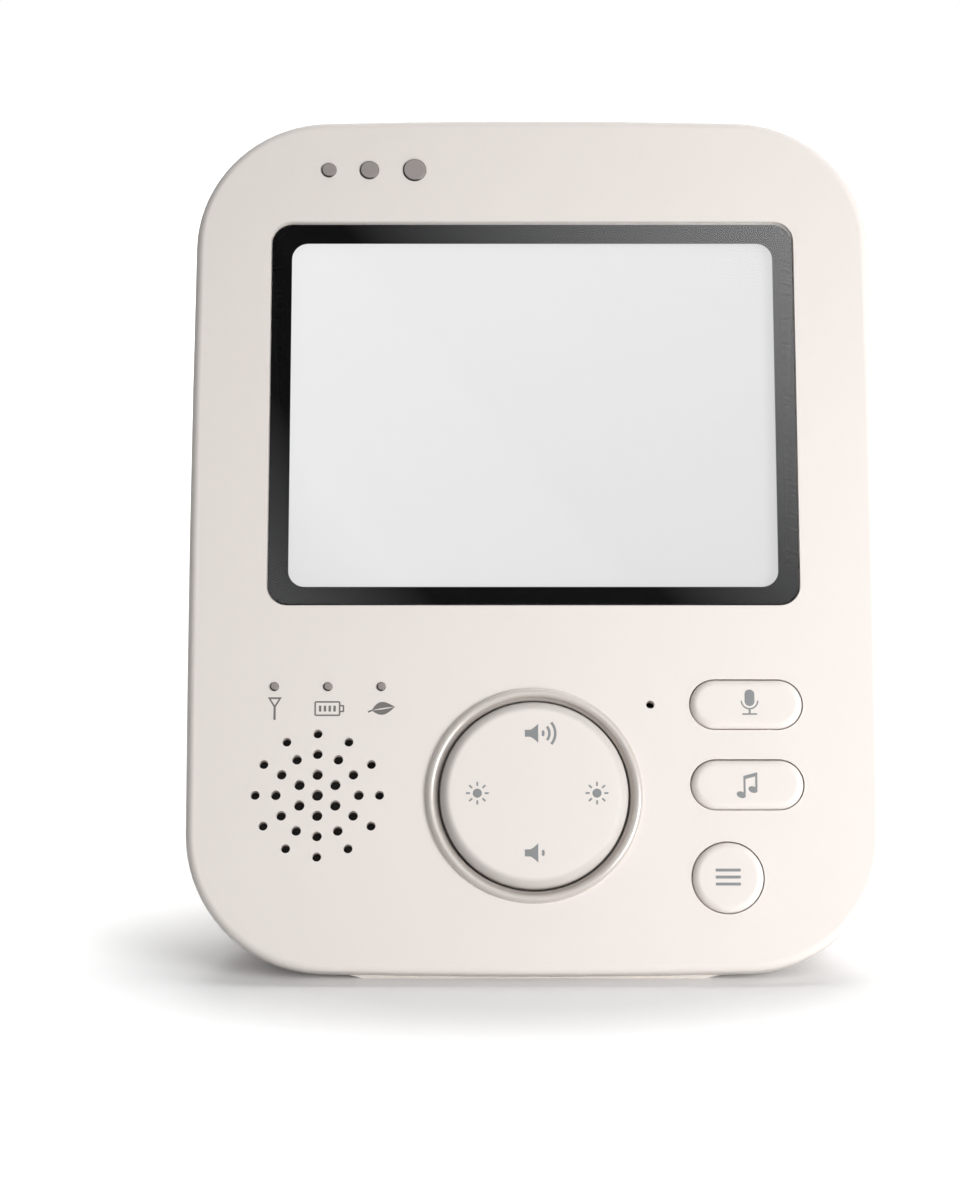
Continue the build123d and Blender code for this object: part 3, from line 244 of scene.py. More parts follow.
class Graph:
    """A material's or the world's node tree, filled through one method."""

    def __init__(self, tree: bpy.types.NodeTree) -> None:
        """Takes over a node tree and empties it."""
        self.tree = tree
        tree.nodes.clear()

    def node(
        self,
        kind: str,
        settings: Optional[dict[str, Any]] = None,
        sockets: Optional[dict[Union[str, int], Any]] = None,
    ) -> bpy.types.Node:
        """Adds a node, its settings before its sockets.

        Args:
            kind: The node's type name.
            settings: Attributes to set.
            sockets: Input name, identifier or number to a value or a Wire.

        Returns:
            The new node.
        """
        made = self.tree.nodes.new(kind)
        for name, value in (settings or {}).items():
            setattr(made, name, value)
        for key, value in (sockets or {}).items():
            socket = self._find(made.inputs, key)
            if isinstance(value, Wire):
                self.tree.links.new(value.socket, socket)
            elif isinstance(value, tuple) and len(value) == 3 and socket.type == "RGBA":
                socket.default_value = (*value, 1.0)
            else:
                socket.default_value = value
        return made

    @staticmethod
    def _find(sockets: Any, key: Union[str, int]) -> bpy.types.NodeSocket:
        """Finds one of a node's sockets.

        Args:
            sockets: The node's inputs or outputs.
            key: The socket's number, identifier or name.

        Returns:
            The socket, of those in use where it is found by name.
        """
        if isinstance(key, int):
            return sockets[key]
        return next(s for s in sockets if key in (s.identifier, s.name) and s.enabled)

    def out(self, node: bpy.types.Node, key: Union[str, int] = 0) -> Wire:
        """Returns a node's output as a Wire."""
        return Wire(self, self._find(node.outputs, key))

    def coordinates(self, kind: str) -> Wire:
        """One output of the Texture Coordinate node."""
        return self.out(self.node("ShaderNodeTexCoord"), kind)

    def dot(self, values: Wire, axis: Triple) -> Wire:
        """How far a vector reaches along an axis."""
        settings = {"operation": "DOT_PRODUCT"}
        return self.out(self.node("ShaderNodeVectorMath", settings, {0: values, 1: axis}), "Value")

    def millimetres(self, stretch: Triple = EVEN) -> Wire:
        """Place in the object in millimetres.

        Args:
            stretch: What each axis is multiplied by.

        Returns:
            The place as a vector.
        """
        place = self.coordinates("Object")
        scale = tuple(value / MM for value in stretch)
        settings = {"operation": "MULTIPLY"}
        return self.out(self.node("ShaderNodeVectorMath", settings, {0: place, 1: scale}))

    def along(self, axis: Triple, middle: Triple = ORIGIN) -> Wire:
        """Place in the object along a direction.

        Args:
            axis: The direction.
            middle: The point that it is measured from, in millimetres.

        Returns:
            The distance along the direction, in millimetres.
        """
        place = self.dot(self.millimetres(), axis)
        start = float(np.dot(middle, axis))
        return place - start if start else place

    def noise(
        self, per_mm: float, detail: float = 2.0, rough: float = 0.5, stretch: Triple = EVEN
    ) -> Wire:
        """Soft noise from 0 to 1.

        Args:
            per_mm: Waves per millimetre.
            detail: Octaves.
            rough: Share of the finer octaves.
            stretch: Each axis's factor, below 1 for long streaks.

        Returns:
            The noise, with 0.5 as its middle.
        """
        place = self.millimetres(stretch)
        sockets = {"Vector": place, "Scale": per_mm, "Detail": detail, "Roughness": rough}
        return self.out(self.node("ShaderNodeTexNoise", {}, sockets), "Fac")

    def cells(self, per_mm: float) -> Wire:
        """Distance to the nearest of scattered points."""
        sockets = {"Vector": self.millimetres(), "Scale": per_mm}
        return self.out(self.node("ShaderNodeTexVoronoi", {}, sockets), "Distance")

    def mix(self, mask: Value, first: Union[Wire, Colour], second: Union[Wire, Colour]) -> Wire:
        """Colour that goes from first to second as the mask goes from 0 to 1."""
        sockets = {"Factor_Float": mask, "A_Color": first, "B_Color": second}
        return self.out(self.node("ShaderNodeMix", {"data_type": "RGBA"}, sockets), "Result_Color")

    def shade(self, colour: Colour, noise: Wire, spread: float) -> Wire:
        """The colour, darker where the noise is low and lighter where it is high."""
        return self.mix(noise, scaled(colour, 1 - spread), scaled(colour, 1 + spread))

    def bump(self, height: Wire, depth_mm: float, strength: float) -> Wire:
        """Normal bent by a height."""
        sockets = {"Strength": strength, "Distance": depth_mm * MM, "Height": height}
        return self.out(self.node("ShaderNodeBump", {}, sockets))

    def principled(self, **values: Any) -> Wire:
        """Principled shader; underscores stand for its sockets' spaces, as in Base_Color."""
        sockets = {name.replace("_", " "): value for name, value in values.items()}
        return self.out(self.node("ShaderNodeBsdfPrincipled", {}, sockets))

    def finish(self, shader: Wire) -> None:
        """Sends a shader to the material's surface."""
        self.node("ShaderNodeOutputMaterial", {}, {"Surface": shader})


# Finishes


class Finish:
    """A look that a material is built from. Each kind fills a node tree."""

    def fill(self, graph: Graph) -> Wire:
        """Builds the shader.

        Args:
            graph: The material's node tree.

        Returns:
            The shader.
        """
        raise NotImplementedError

    def material(self, name: str) -> bpy.types.Material:
        """Builds the material.

        Args:
            name: The material's name.

        Returns:
            The material.
        """
        made = bpy.data.materials.new(name)
        made.use_nodes = True
        graph = Graph(made.node_tree)
        graph.finish(self.fill(graph))
        return made


@dataclass(frozen=True)
class MouldedPlastic(Finish):
    """Injection-moulded plastic with a fine eroded grain and faint cloudiness."""

    colour: Colour
    roughness: float = 0.5
    shine: float = 0.5
    coat: float = 0.0
    coat_roughness: float = 0.25
    grain_per_mm: float = 5.0
    coarse_scale: float = 0.3
    fine_share: float = 0.7
    grain_depth: float = 0.006
    grain_strength: float = 0.6
    grain_gloss: float = 0.12
    clouds_per_mm: float = 0.05
    cloud_spread: float = 0.012
    cloud_gloss: float = 0.06

    def tint(self, graph: Graph, clouds: Wire) -> Wire:
        """The colour with its faint clouds."""
        return graph.shade(self.colour, clouds, self.cloud_spread)

    def fill(self, graph: Graph) -> Wire:
        """Cloudy colour, uneven gloss and a grain of two sizes.

        Args:
            graph: The material's node tree.

        Returns:
            The shader.
        """
        clouds = graph.noise(self.clouds_per_mm, 3.0)
        fine = graph.noise(self.grain_per_mm, 3.0, 0.6)
        coarse = graph.noise(self.grain_per_mm * self.coarse_scale, 1.0)
        grain = fine * self.fine_share + coarse * (1 - self.fine_share)
        gloss = (fine - 0.5) * self.grain_gloss + (clouds - 0.5) * self.cloud_gloss
        return graph.principled(
            Base_Color=self.tint(graph, clouds),
            Roughness=self.roughness + gloss,
            Specular_IOR_Level=self.shine,
            Coat_Weight=self.coat,
            Coat_Roughness=self.coat_roughness,
            Normal=graph.bump(grain, self.grain_depth, self.grain_strength),
        )


@dataclass(frozen=True)
class PaintedRimShadePlastic(MouldedPlastic):
    """Moulded plastic with painted shade on the round control's rounded rim, which makes the colour darker
    there.
    """

    middle: Triple = ORIGIN
    right: Triple = ACROSS
    up: Triple = (0.0, 0.0, 1.0)
    # Distances from the control's middle where painted shade darkens the rim, where it stops, and how dark it
    # gets.
    rim: Span = (11.8, 12.7)
    edge: Span = (14.2, 14.4)
    painted_rim_shade: float = 0.75

    def tint(self, graph: Graph, clouds: Wire) -> Wire:
        """Cloudy colour darkened by painted shade over the rim's distances from the control's middle, as far
        as its edge.

        Args:
            graph: The material's node tree.
            clouds: The clouds' noise.

        Returns:
            The colour.
        """
        across = graph.along(self.right, self.middle)
        upward = graph.along(self.up, self.middle)
        distance = (across * across + upward * upward) ** 0.5
        # Painted shade: the control's rounded rim is darker, standing in for the shade that falls on it.
        painted_rim_shade_mask = distance.ramp(*self.rim) * (1 - distance.ramp(*self.edge))
        return graph.mix(painted_rim_shade_mask, super().tint(graph, clouds), scaled(self.colour, self.painted_rim_shade))


@dataclass(frozen=True)
class PearlTrim(Finish):
    """Pearl lacquer over plastic: fine flakes under a clear coat."""

    colour: Colour
    roughness: float = 0.3
    metallic: float = 0.2
    spread: float = 0.05
    sparkle: float = 0.12
    flakes_per_mm: float = 9.0
    flake_edge: Span = (0.15, 0.75)
    flake_share: float = 0.6
    flake_depth: float = 0.002
    flake_strength: float = 0.3
    clouds_per_mm: float = 0.4
    cloud_gloss: float = 0.08
    coat: float = 0.6
    coat_roughness: float = 0.12

    def fill(self, graph: Graph) -> Wire:
        """Flakes vary the colour and how metallic it is; the coat stays even.

        Args:
            graph: The material's node tree.

        Returns:
            The shader.
        """
        flakes = graph.cells(self.flakes_per_mm).ramp(*self.flake_edge)
        clouds = graph.noise(self.clouds_per_mm)
        mottle = flakes * self.flake_share + clouds * (1 - self.flake_share)
        return graph.principled(
            Base_Color=graph.shade(self.colour, mottle, self.spread),
            Metallic=self.metallic + (flakes - 0.5) * self.sparkle,
            Roughness=self.roughness + (clouds - 0.5) * self.cloud_gloss,
            Coat_Weight=self.coat,
            Coat_Roughness=self.coat_roughness,
            Normal=graph.bump(flakes, self.flake_depth, self.flake_strength),
        )


@dataclass(frozen=True)
class PrintedInk(Finish):
    """Matt screen-printed ink with a faint mottle."""

    colour: Colour
    roughness: float = 0.55
    mottle_per_mm: float = 3.0
    mottle_spread: float = 0.04
    mottle_gloss: float = 0.1
    tooth_per_mm: float = 14.0
    tooth_depth: float = 0.002
    tooth_strength: float = 0.4

    def fill(self, graph: Graph) -> Wire:
        """Mottled colour and a very fine tooth.

        Args:
            graph: The material's node tree.

        Returns:
            The shader.
        """
        mottle = graph.noise(self.mottle_per_mm, 3.0)
        tooth = graph.noise(self.tooth_per_mm)
        return graph.principled(
            Base_Color=graph.shade(self.colour, mottle, self.mottle_spread),
            Roughness=self.roughness + (mottle - 0.5) * self.mottle_gloss,
            Normal=graph.bump(tooth, self.tooth_depth, self.tooth_strength),
        )


@dataclass(frozen=True)
class BlackBorder(Finish):
    """Black print on the back of the window."""

    colour: Colour
    roughness: float = 0.6
    shine: float = 0.02
    mottle_per_mm: float = 1.2
    mottle_spread: float = 0.1
    mottle_gloss: float = 0.1

    def fill(self, graph: Graph) -> Wire:
        """Near-black with a faint screen-print mottle.

        Args:
            graph: The material's node tree.

        Returns:
            The shader.
        """
        mottle = graph.noise(self.mottle_per_mm)
        return graph.principled(
            Base_Color=graph.shade(self.colour, mottle, self.mottle_spread),
            Roughness=self.roughness + (mottle - 0.5) * self.mottle_gloss,
            Specular_IOR_Level=self.shine,
        )


@dataclass(frozen=True)
class WindowGlass(Finish):
    """Clear hard-coated window: see-through, with a mirror that grows towards grazing views."""

    ior: float = 1.5
    unevenness: float = 0.06
    haze_per_mm: float = 0.08
    mirror_colour: Colour = (0.97, 0.97, 0.98)

    def fill(self, graph: Graph) -> Wire:
        """Mixes clear and mirror by the Fresnel share, a little uneven by the coat's haze.

        The inner side has no mirror, because it touches the black border.

        Args:
            graph: The material's node tree.

        Returns:
            The shader.
        """
        fresnel = graph.out(graph.node("ShaderNodeFresnel", {}, {"IOR": self.ior}))
        inside = graph.out(graph.node("ShaderNodeNewGeometry"), "Backfacing")
        haze = 1 + (graph.noise(self.haze_per_mm) - 0.5) * self.unevenness
        clear = graph.out(graph.node("ShaderNodeBsdfTransparent"))
        mirror = graph.principled(Base_Color=self.mirror_colour, Metallic=1.0, Roughness=0.0)
        sockets = {0: fresnel * (1 - inside) * haze, 1: clear, 2: mirror}
        return graph.out(graph.node("ShaderNodeMixShader", {}, sockets))


@dataclass(frozen=True)
class ScreenSurface(Finish):
    """Blank display surface with a fine grid of picture cells and a painted glow, brightest along one
    diagonal.

    The window's reflection adds light at the upper right and the lower left. Painted shade dims the glow
    there, by a loss per millimetre from where each begins, measured along the slope from the display's
    middle, and a slight painted tilt darkens it towards the lower right.
    """

    colour: Colour
    middle: Triple
    up: Triple
    # Painted glow: the display's emitted level, with painted dimming per millimetre where the reflection
    # falls and a slight painted tilt.
    glow: float = 0.712
    slope: Spot = (0.79, 0.61)
    upper_start: float = -6.0
    painted_upper_dimming: float = 0.0039
    lower_start: float = 30.0
    painted_lower_dimming: float = 0.0084
    tilt: float = 0.001
    cell_mm: float = 0.22
    cell_edge: Span = (0.38, 0.5)
    edge_shade: float = 0.94
    edge_loss: float = 0.06
    mottle_per_mm: float = 0.03
    mottle_spread: float = 0.01
    roughness: float = 0.42
    shine: float = 0.3

    def fill(self, graph: Graph) -> Wire:
        """Cells darken at their edges, and the painted glow falls off along the slope as painted shade.

        Args:
            graph: The material's node tree.

        Returns:
            The shader.
        """
        along = graph.along(ACROSS, self.middle)
        rise = graph.along(self.up, self.middle)
        across = (along / self.cell_mm).fraction()
        upward = (rise / self.cell_mm).fraction()
        edge = abs(across - 0.5).most(abs(upward - 0.5)).ramp(*self.cell_edge)
        lit = graph.shade(self.colour, graph.noise(self.mottle_per_mm, 1.0), self.mottle_spread)
        # Painted shade: the glow is dimmed towards the upper right and the lower left, and slightly towards
        # the lower right.
        diagonal = along * self.slope[0] + rise * self.slope[1]
        upper = (diagonal - self.upper_start).most(0.0) * self.painted_upper_dimming
        lower = (-diagonal - self.lower_start).most(0.0) * self.painted_lower_dimming
        level = self.glow - upper - lower + (rise - along) * self.tilt
        return graph.principled(
            Base_Color=graph.mix(edge, lit, scaled(self.colour, self.edge_shade)),
            Roughness=self.roughness,
            Specular_IOR_Level=self.shine,
            Emission_Color=graph.mix(level * (1 - edge * self.edge_loss), BLACK, WHITE),
            Emission_Strength=1.0,
        )


@dataclass(frozen=True)
class SoftRubber(Finish):
    """Soft rubber with a dusty, slightly pitted skin."""

    colour: Colour
    roughness: float = 0.7
    sheen: float = 0.1
    dust_per_mm: float = 0.8
    dust_edge: Span = (0.45, 0.75)
    dust_cover: float = 0.5
    dust_gloss: float = 0.08
    dust_lift: float = 0.01
    dust_gain: float = 1.1
    pits_per_mm: float = 3.0
    pit_edge: Span = (0.05, 0.4)
    pit_depth: float = 0.01
    pit_strength: float = 0.4

    def fill(self, graph: Graph) -> Wire:
        """Dust lightens the colour, and pits bend the normal.

        Args:
            graph: The material's node tree.

        Returns:
            The shader.
        """
        dust = graph.noise(self.dust_per_mm, 4.0, 0.65).ramp(*self.dust_edge)
        pits = graph.cells(self.pits_per_mm).ramp(*self.pit_edge)
        light = tuple(min(value * self.dust_gain + self.dust_lift, 1.0) for value in self.colour)
        return graph.principled(
            Base_Color=graph.mix(dust * self.dust_cover, self.colour, light),
            Roughness=self.roughness + dust * self.dust_gloss,
            Sheen_Weight=self.sheen,
            Normal=graph.bump(pits, self.pit_depth, self.pit_strength),
        )


@dataclass(frozen=True)
class SheetMetal(Finish):
    """Plated or rolled metal with drawn streaks and small stains."""

    colour: Colour
    roughness: float = 0.3
    streak: Triple = (0.15, 1.0, 1.0)
    streaks_per_mm: float = 6.0
    streak_spread: float = 0.08
    streak_gloss: float = 0.2
    streak_depth: float = 0.002
    streak_strength: float = 0.5
    stains_per_mm: float = 0.5
    stain_edge: Span = (0.5, 0.8)
    stain_dulls: float = 0.1
    stain_gloss: float = 0.15

    def fill(self, graph: Graph) -> Wire:
        """Long streaks vary gloss and colour; stains dull it in spots.

        Args:
            graph: The material's node tree.

        Returns:
            The shader.
        """
        streaks = graph.noise(self.streaks_per_mm, 3.0, 0.6, self.streak)
        stains = graph.noise(self.stains_per_mm, 4.0, 0.7).ramp(*self.stain_edge)
        gloss = (streaks - 0.5) * self.streak_gloss + stains * self.stain_gloss
        return graph.principled(
            Base_Color=graph.shade(self.colour, streaks, self.streak_spread),
            Metallic=1.0 - stains * self.stain_dulls,
            Roughness=self.roughness + gloss,
            Normal=graph.bump(streaks, self.streak_depth, self.streak_strength),
        )


@dataclass(frozen=True)
class CircuitBoard(Finish):
    """Green solder mask over copper tracks, with rows of plated holes."""

    mask: Colour
    copper: Colour
    up: Triple
    track_pitch: float = 1.27
    track_edge: Span = (0.2, 0.3)
    track_gain: float = 1.5
    track_gloss: float = 0.08
    track_depth: float = 0.03
    track_strength: float = 0.6
    areas_per_mm: float = 0.09
    area_edge: Span = (0.46, 0.54)
    tracks_per_hole: int = 4
    hole_edge: Span = (0.06, 0.09)
    hole_metallic: float = 0.8
    roughness: float = 0.32
    coat: float = 0.3

    def fill(self, graph: Graph) -> Wire:
        """Tracks run one way or the other by area; holes sit on a grid.

        Args:
            graph: The material's node tree.

        Returns:
            The shader.
        """
        across = graph.along(ACROSS) / self.track_pitch
        upward = graph.along(self.up) / self.track_pitch
        area = graph.noise(self.areas_per_mm, 1.0).ramp(*self.area_edge)
        upright = abs(across.fraction() - 0.5).ramp(*self.track_edge)
        level = abs(upward.fraction() - 0.5).ramp(*self.track_edge)
        tracks = upright * area + level * (1 - area)
        from_hole_x = (across / self.tracks_per_hole).fraction() - 0.5
        from_hole_y = (upward / self.tracks_per_hole).fraction() - 0.5
        distance = (from_hole_x * from_hole_x + from_hole_y * from_hole_y) ** 0.5
        holes = 1 - distance.ramp(*self.hole_edge)
        plain = graph.mix(tracks, self.mask, scaled(self.mask, self.track_gain))
        return graph.principled(
            Base_Color=graph.mix(holes, plain, self.copper),
            Metallic=holes * self.hole_metallic,
            Roughness=self.roughness + tracks * self.track_gloss,
            Coat_Weight=self.coat,
            Normal=graph.bump(tracks, self.track_depth, self.track_strength),
        )


@dataclass(frozen=True)
class WovenCloth(Finish):
    """Thin plain-woven dust cloth."""

    colour: Colour
    up: Triple
    thread_mm: float = 0.18
    spread: float = 0.5
    weave_share: float = 0.7
    weave_depth: float = 0.04
    weave_strength: float = 0.7
    fuzz_per_mm: float = 8.0
    fuzz_height: float = 0.3
    roughness: float = 0.9
    sheen: float = 0.3

    def fill(self, graph: Graph) -> Wire:
        """Warp and weft are crossed waves whose product gives the over and under.

        Args:
            graph: The material's node tree.

        Returns:
            The shader.
        """
        turn = np.pi / self.thread_mm
        warp = (graph.along(ACROSS) * turn).sine()
        weft = (graph.along(self.up) * turn).sine()
        weave = warp * weft * 0.5 + 0.5
        fuzz = graph.noise(self.fuzz_per_mm, 3.0)
        mottle = weave * self.weave_share + fuzz * (1 - self.weave_share)
        height = weave + fuzz * self.fuzz_height
        return graph.principled(
            Base_Color=graph.shade(self.colour, mottle, self.spread),
            Roughness=self.roughness,
            Sheen_Weight=self.sheen,
            Normal=graph.bump(height, self.weave_depth, self.weave_strength),
        )


@dataclass(frozen=True)
class PressedPaper(Finish):
    """Pressed paper pulp with short fibres."""

    colour: Colour
    fibres_per_mm: float = 4.0
    one_way: Triple = (0.3, 1.0, 1.0)
    other_way: Triple = (1.0, 0.3, 0.3)
    fibre_gain: float = 2.0
    fibre_spread: float = 0.3
    fibre_gloss: float = 0.2
    fibre_depth: float = 0.05
    fibre_strength: float = 0.5
    roughness: float = 0.85

    def fill(self, graph: Graph) -> Wire:
        """Fibres come from noise stretched two ways.

        Args:
            graph: The material's node tree.

        Returns:
            The shader.
        """
        lying = graph.noise(self.fibres_per_mm, 4.0, 0.7, self.one_way)
        crossing = graph.noise(self.fibres_per_mm, 4.0, 0.7, self.other_way)
        fibres = lying * crossing
        return graph.principled(
            Base_Color=graph.shade(self.colour, fibres * self.fibre_gain, self.fibre_spread),
            Roughness=self.roughness - fibres * self.fibre_gloss,
            Normal=graph.bump(fibres, self.fibre_depth, self.fibre_strength),
        )


@dataclass(frozen=True)
class SmokedLens(Finish):
    """Clear-coated smoky rod whose lamp is off, with painted shade on its rim and on the edge that faces one
    way.
    """

    colour: Colour
    # The way whose facing edge gets painted shade, how that shade ramps in and how dark it gets; the rim's
    # painted shade follows.
    painted_shade_side: Triple = ORIGIN
    painted_shade_edge: Span = (0.02, 0.22)
    painted_side_shade: float = 0.04
    rim_blend: float = 0.35
    rim_edge: Span = (0.1, 0.6)
    painted_rim_shade: float = 0.3
    rim_unevenness: float = 0.1
    clouds_per_mm: float = 0.9
    cloud_gloss: float = 0.1
    roughness: float = 0.3
    coat: float = 0.4
    coat_roughness: float = 0.1

    def fill(self, graph: Graph) -> Wire:
        """Painted shade: darker towards the rim where it turns from the view, and darkest on the edge that
        faces one given way.

        Args:
            graph: The material's node tree.

        Returns:
            The shader.
        """
        weight = graph.node("ShaderNodeLayerWeight", {}, {"Blend": self.rim_blend})
        cloud = graph.noise(self.clouds_per_mm)
        # Painted shade on the rim, where the surface turns away from the view.
        rim = (graph.out(weight, "Facing") + cloud * self.rim_unevenness).ramp(*self.rim_edge)
        # Painted shade on the edge that faces the given way.
        side = graph.dot(graph.coordinates("Normal"), self.painted_shade_side).ramp(*self.painted_shade_edge)
        plain = graph.mix(rim, self.colour, scaled(self.colour, self.painted_rim_shade))
        return graph.principled(
            Base_Color=graph.mix(side, plain, scaled(self.colour, self.painted_side_shade)),
            Roughness=self.roughness + (cloud - 0.5) * self.cloud_gloss,
            Coat_Weight=self.coat,
            Coat_Roughness=self.coat_roughness,
        )


@dataclass(frozen=True)
class RibbonFilm(Finish):
    """Amber film over a row of flat conductors."""

    film: Colour
    conductor: Colour
    pitch: float = 0.5
    stripe_edge: Span = (0.2, 0.28)
    stripe_metallic: float = 0.5
    stripe_depth: float = 0.02
    stripe_strength: float = 0.5
    haze_per_mm: float = 1.5
    haze_spread: float = 0.1
    haze_gloss: float = 0.1
    roughness: float = 0.3

    def fill(self, graph: Graph) -> Wire:
        """Stripes across the width show the conductors through the film.

        Args:
            graph: The material's node tree.

        Returns:
            The shader.
        """
        stripe = abs((graph.along(ACROSS) / self.pitch).fraction() - 0.5).ramp(*self.stripe_edge)
        haze = graph.noise(self.haze_per_mm)
        film = graph.shade(self.film, haze, self.haze_spread)
        return graph.principled(
            Base_Color=graph.mix(stripe, film, self.conductor),
            Metallic=stripe * self.stripe_metallic,
            Roughness=self.roughness + haze * self.haze_gloss,
            Normal=graph.bump(stripe, self.stripe_depth, self.stripe_strength),
        )


# Places on the face


@dataclass(frozen=True)
class FaceFrame:
    """The face: its origin over the round control's middle, in metres, and its directions."""

    origin: Points
    right: Points
    up: Points
    out: Points

    @classmethod
    def from_joints(cls, joints: dict[str, dict[str, Any]]) -> "FaceFrame":
        """Reads the face's place and directions from the joints that lie along it.

        Args:
            joints: The record's joints by name.

        Returns:
            The face's frame, its origin where the control's axis meets the face.
        """
        out = -np.array(joints["talk_press"]["axis"], float)
        up = np.array(joints["control_tilt_left_right"]["axis"], float)
        right = np.array(joints["control_tilt_up_down"]["axis"], float)
        pivot = np.array(joints["control_tilt_left_right"]["pos_m"], float)
        return cls(pivot + out * PIVOT_DEPTH * MM, right, up, out)

    def place(self, flat: Points, rise: Union[Points, float]) -> Points:
        """Puts drawn points on the face: origin + x right + y up + rise out.

        Args:
            flat: Points in the face, (..., 2), in millimetres.
            rise: Height of each above the face, in millimetres.

        Returns:
            Points in metres, (..., 3).
        """
        height = np.broadcast_to(rise, flat.shape[:-1])[..., None]
        sideways = flat[..., :1] * self.right + flat[..., 1:] * self.up
        return self.origin + MM * (sideways + height * self.out)


# Outlines of the signs, all in millimetres


def arc(centre: Spot, radius: float, start: float, end: float, count: int = 40) -> Points:
    """Points on a circle: centre + radius (cos a, sin a).

    Args:
        centre: The circle's middle.
        radius: Its radius.
        start: The first angle a, in degrees.
        end: The last angle a, in degrees.
        count: How many points.

    Returns:
        The points, (count, 2).
    """
    angle = np.radians(np.linspace(start, end, count))
    return np.array(centre) + radius * np.stack([np.cos(angle), np.sin(angle)], axis=-1)


def ellipse(centre: Spot, wide: float, high: float, turn: float = 0.0, count: int = 48) -> Points:
    """Closed ellipse: centre + (wide cos a, high sin a), turned.

    Args:
        centre: The ellipse's middle.
        wide: Half its width.
        high: Half its height.
        turn: How far it is turned counter-clockwise, in degrees.
        count: How many points.

    Returns:
        The points, (count, 2).
    """
    angle = np.linspace(0, 2 * np.pi, count, endpoint=False)
    flat = np.stack([wide * np.cos(angle), high * np.sin(angle)], axis=-1)
    tilt = radians(turn)
    turning = np.array([[cos(tilt), sin(tilt)], [-sin(tilt), cos(tilt)]])
    return np.array(centre) + flat @ turning


def polyline(corners: Iterable[Spot], per_side: int = 8, closed: bool = False) -> Points:
    """Points along straight sides: (1 - s) corner + s next corner, with s from 0 to 1.

    Args:
        corners: The corners in order.
        per_side: Points on each side.
        closed: Whether a side joins the last corner to the first.

    Returns:
        The points, corners included.
    """
    marks = np.array(list(corners), float)
    if closed:
        marks = np.vstack([marks, marks[:1]])
    share = np.linspace(0, 1, per_side, endpoint=False)[None, :, None]
    sides = marks[:-1, None, :] * (1 - share) + marks[1:, None, :] * share
    flat = sides.reshape(-1, 2)
    return flat if closed else np.vstack([flat, marks[-1:]])


def triangle(centre: Spot, wide: float, top: float, point: float) -> Points:
    """Closed triangle that stands on its point.

    Args:
        centre: What it is drawn about.
        wide: Half its width.
        top: Height of its upper side over the centre.
        point: Height of its point over the centre.

    Returns:
        The points.
    """
    x, y = centre
    return polyline([(x - wide, y + top), (x, y + point), (x + wide, y + top)], closed=True)


def rounded_box(centre: Spot, wide: float, high: float, radius: float, per_corner: int = 8) -> Points:
    """Closed rectangle with round corners: corner middle + radius (cos a, sin a) at each corner.

    Args:
        centre: The rectangle's middle.
        wide: Its width.
        high: Its height.
        radius: Its corners' radius.
        per_corner: Points on each corner.

    Returns:
        The points, counter-clockwise.
    """
    reach = np.array([wide / 2 - radius, high / 2 - radius])
    signs = np.array([[1, 1], [-1, 1], [-1, -1], [1, -1]])
    starts = np.array([0, 90, 180, 270])
    angle = np.radians(starts[:, None] + np.linspace(0, 90, per_corner)[None, :])
    turns = radius * np.stack([np.cos(angle), np.sin(angle)], axis=-1)
    return np.array(centre) + ((signs * reach)[:, None, :] + turns).reshape(-1, 2)


@dataclass(frozen=True)
class Patch:
    """A piece of print drawn between two outlines of equal length."""

    outer: Points
    inner: Points
    closed: bool = True

    @classmethod
    def filled(cls, outline: Points) -> "Patch":
        """Print that fills an outline, drawn towards its middle."""
        return cls(outline, np.broadcast_to(outline.mean(axis=0), outline.shape))

    @classmethod
    def stroke(cls, path: Points, width: float, closed: bool = False) -> "Patch":
        """A line of constant width: path(u) ± width / 2 times its normal n(u).

        Args:
            path: The line's middle.
            width: Its width.
            closed: Whether it ends where it starts.

        Returns:
            The patch.
        """
        if closed:
            tangent = np.roll(path, -1, axis=0) - np.roll(path, 1, axis=0)
        else:
            tangent = np.gradient(path, axis=0)
        tangent /= np.linalg.norm(tangent, axis=1, keepdims=True)
        normal = np.stack([tangent[:, 1], -tangent[:, 0]], axis=-1)
        return cls(path + normal * width / 2, path - normal * width / 2, closed)

    def grid(self, face: FaceFrame, level: float) -> tuple[Points, np.ndarray]:
        """The printed skin as a grid.

        P(u, v) = (1 - v) outer(u) + v inner(u), raised by t(u, v) = lift + ink * rim(u) * rim(v),
        where rim is 0 on the border and 1 from a twelfth of the way in.

        Args:
            face: The face that the outlines are drawn on.
            level: Height of the printed surface above the face, in millimetres.

        Returns:
            The vertices in metres, and the quads that join them.
        """
        share = np.array(INK_STEPS)
        inward = share[None, :, None]
        flat = self.outer[:, None, :] * (1 - inward) + self.inner[:, None, :] * inward
        across = np.minimum(share * INK_BORDERS, 1)
        if not np.allclose(self.inner, self.inner[0]):
            across = np.minimum(across, (1 - share) * INK_BORDERS)
        along = np.ones(len(self.outer))
        if not self.closed:
            along[[0, -1]] = 0
        rise = level + INK_LIFT + INK_THICKNESS * along[:, None] * across[None, :]
        return face.place(flat, rise).reshape(-1, 3), self._quads(len(self.outer), len(share))

    def _quads(self, rows: int, columns: int) -> np.ndarray:
        """Joins the grid's points, the rows all the way round if the patch is closed.

        Args:
            rows: Points along the outlines.
            columns: Points from one outline to the other.

        Returns:
            Vertex numbers of each quad.
        """
        index = np.arange(rows * columns).reshape(rows, columns)
        ahead = np.roll(index, -1, axis=0)
        if not self.closed:
            index, ahead = index[:-1], ahead[:-1]
        quads = np.stack([index[:, :-1], ahead[:, :-1], ahead[:, 1:], index[:, 1:]], axis=-1)
        return quads.reshape(-1, 4)


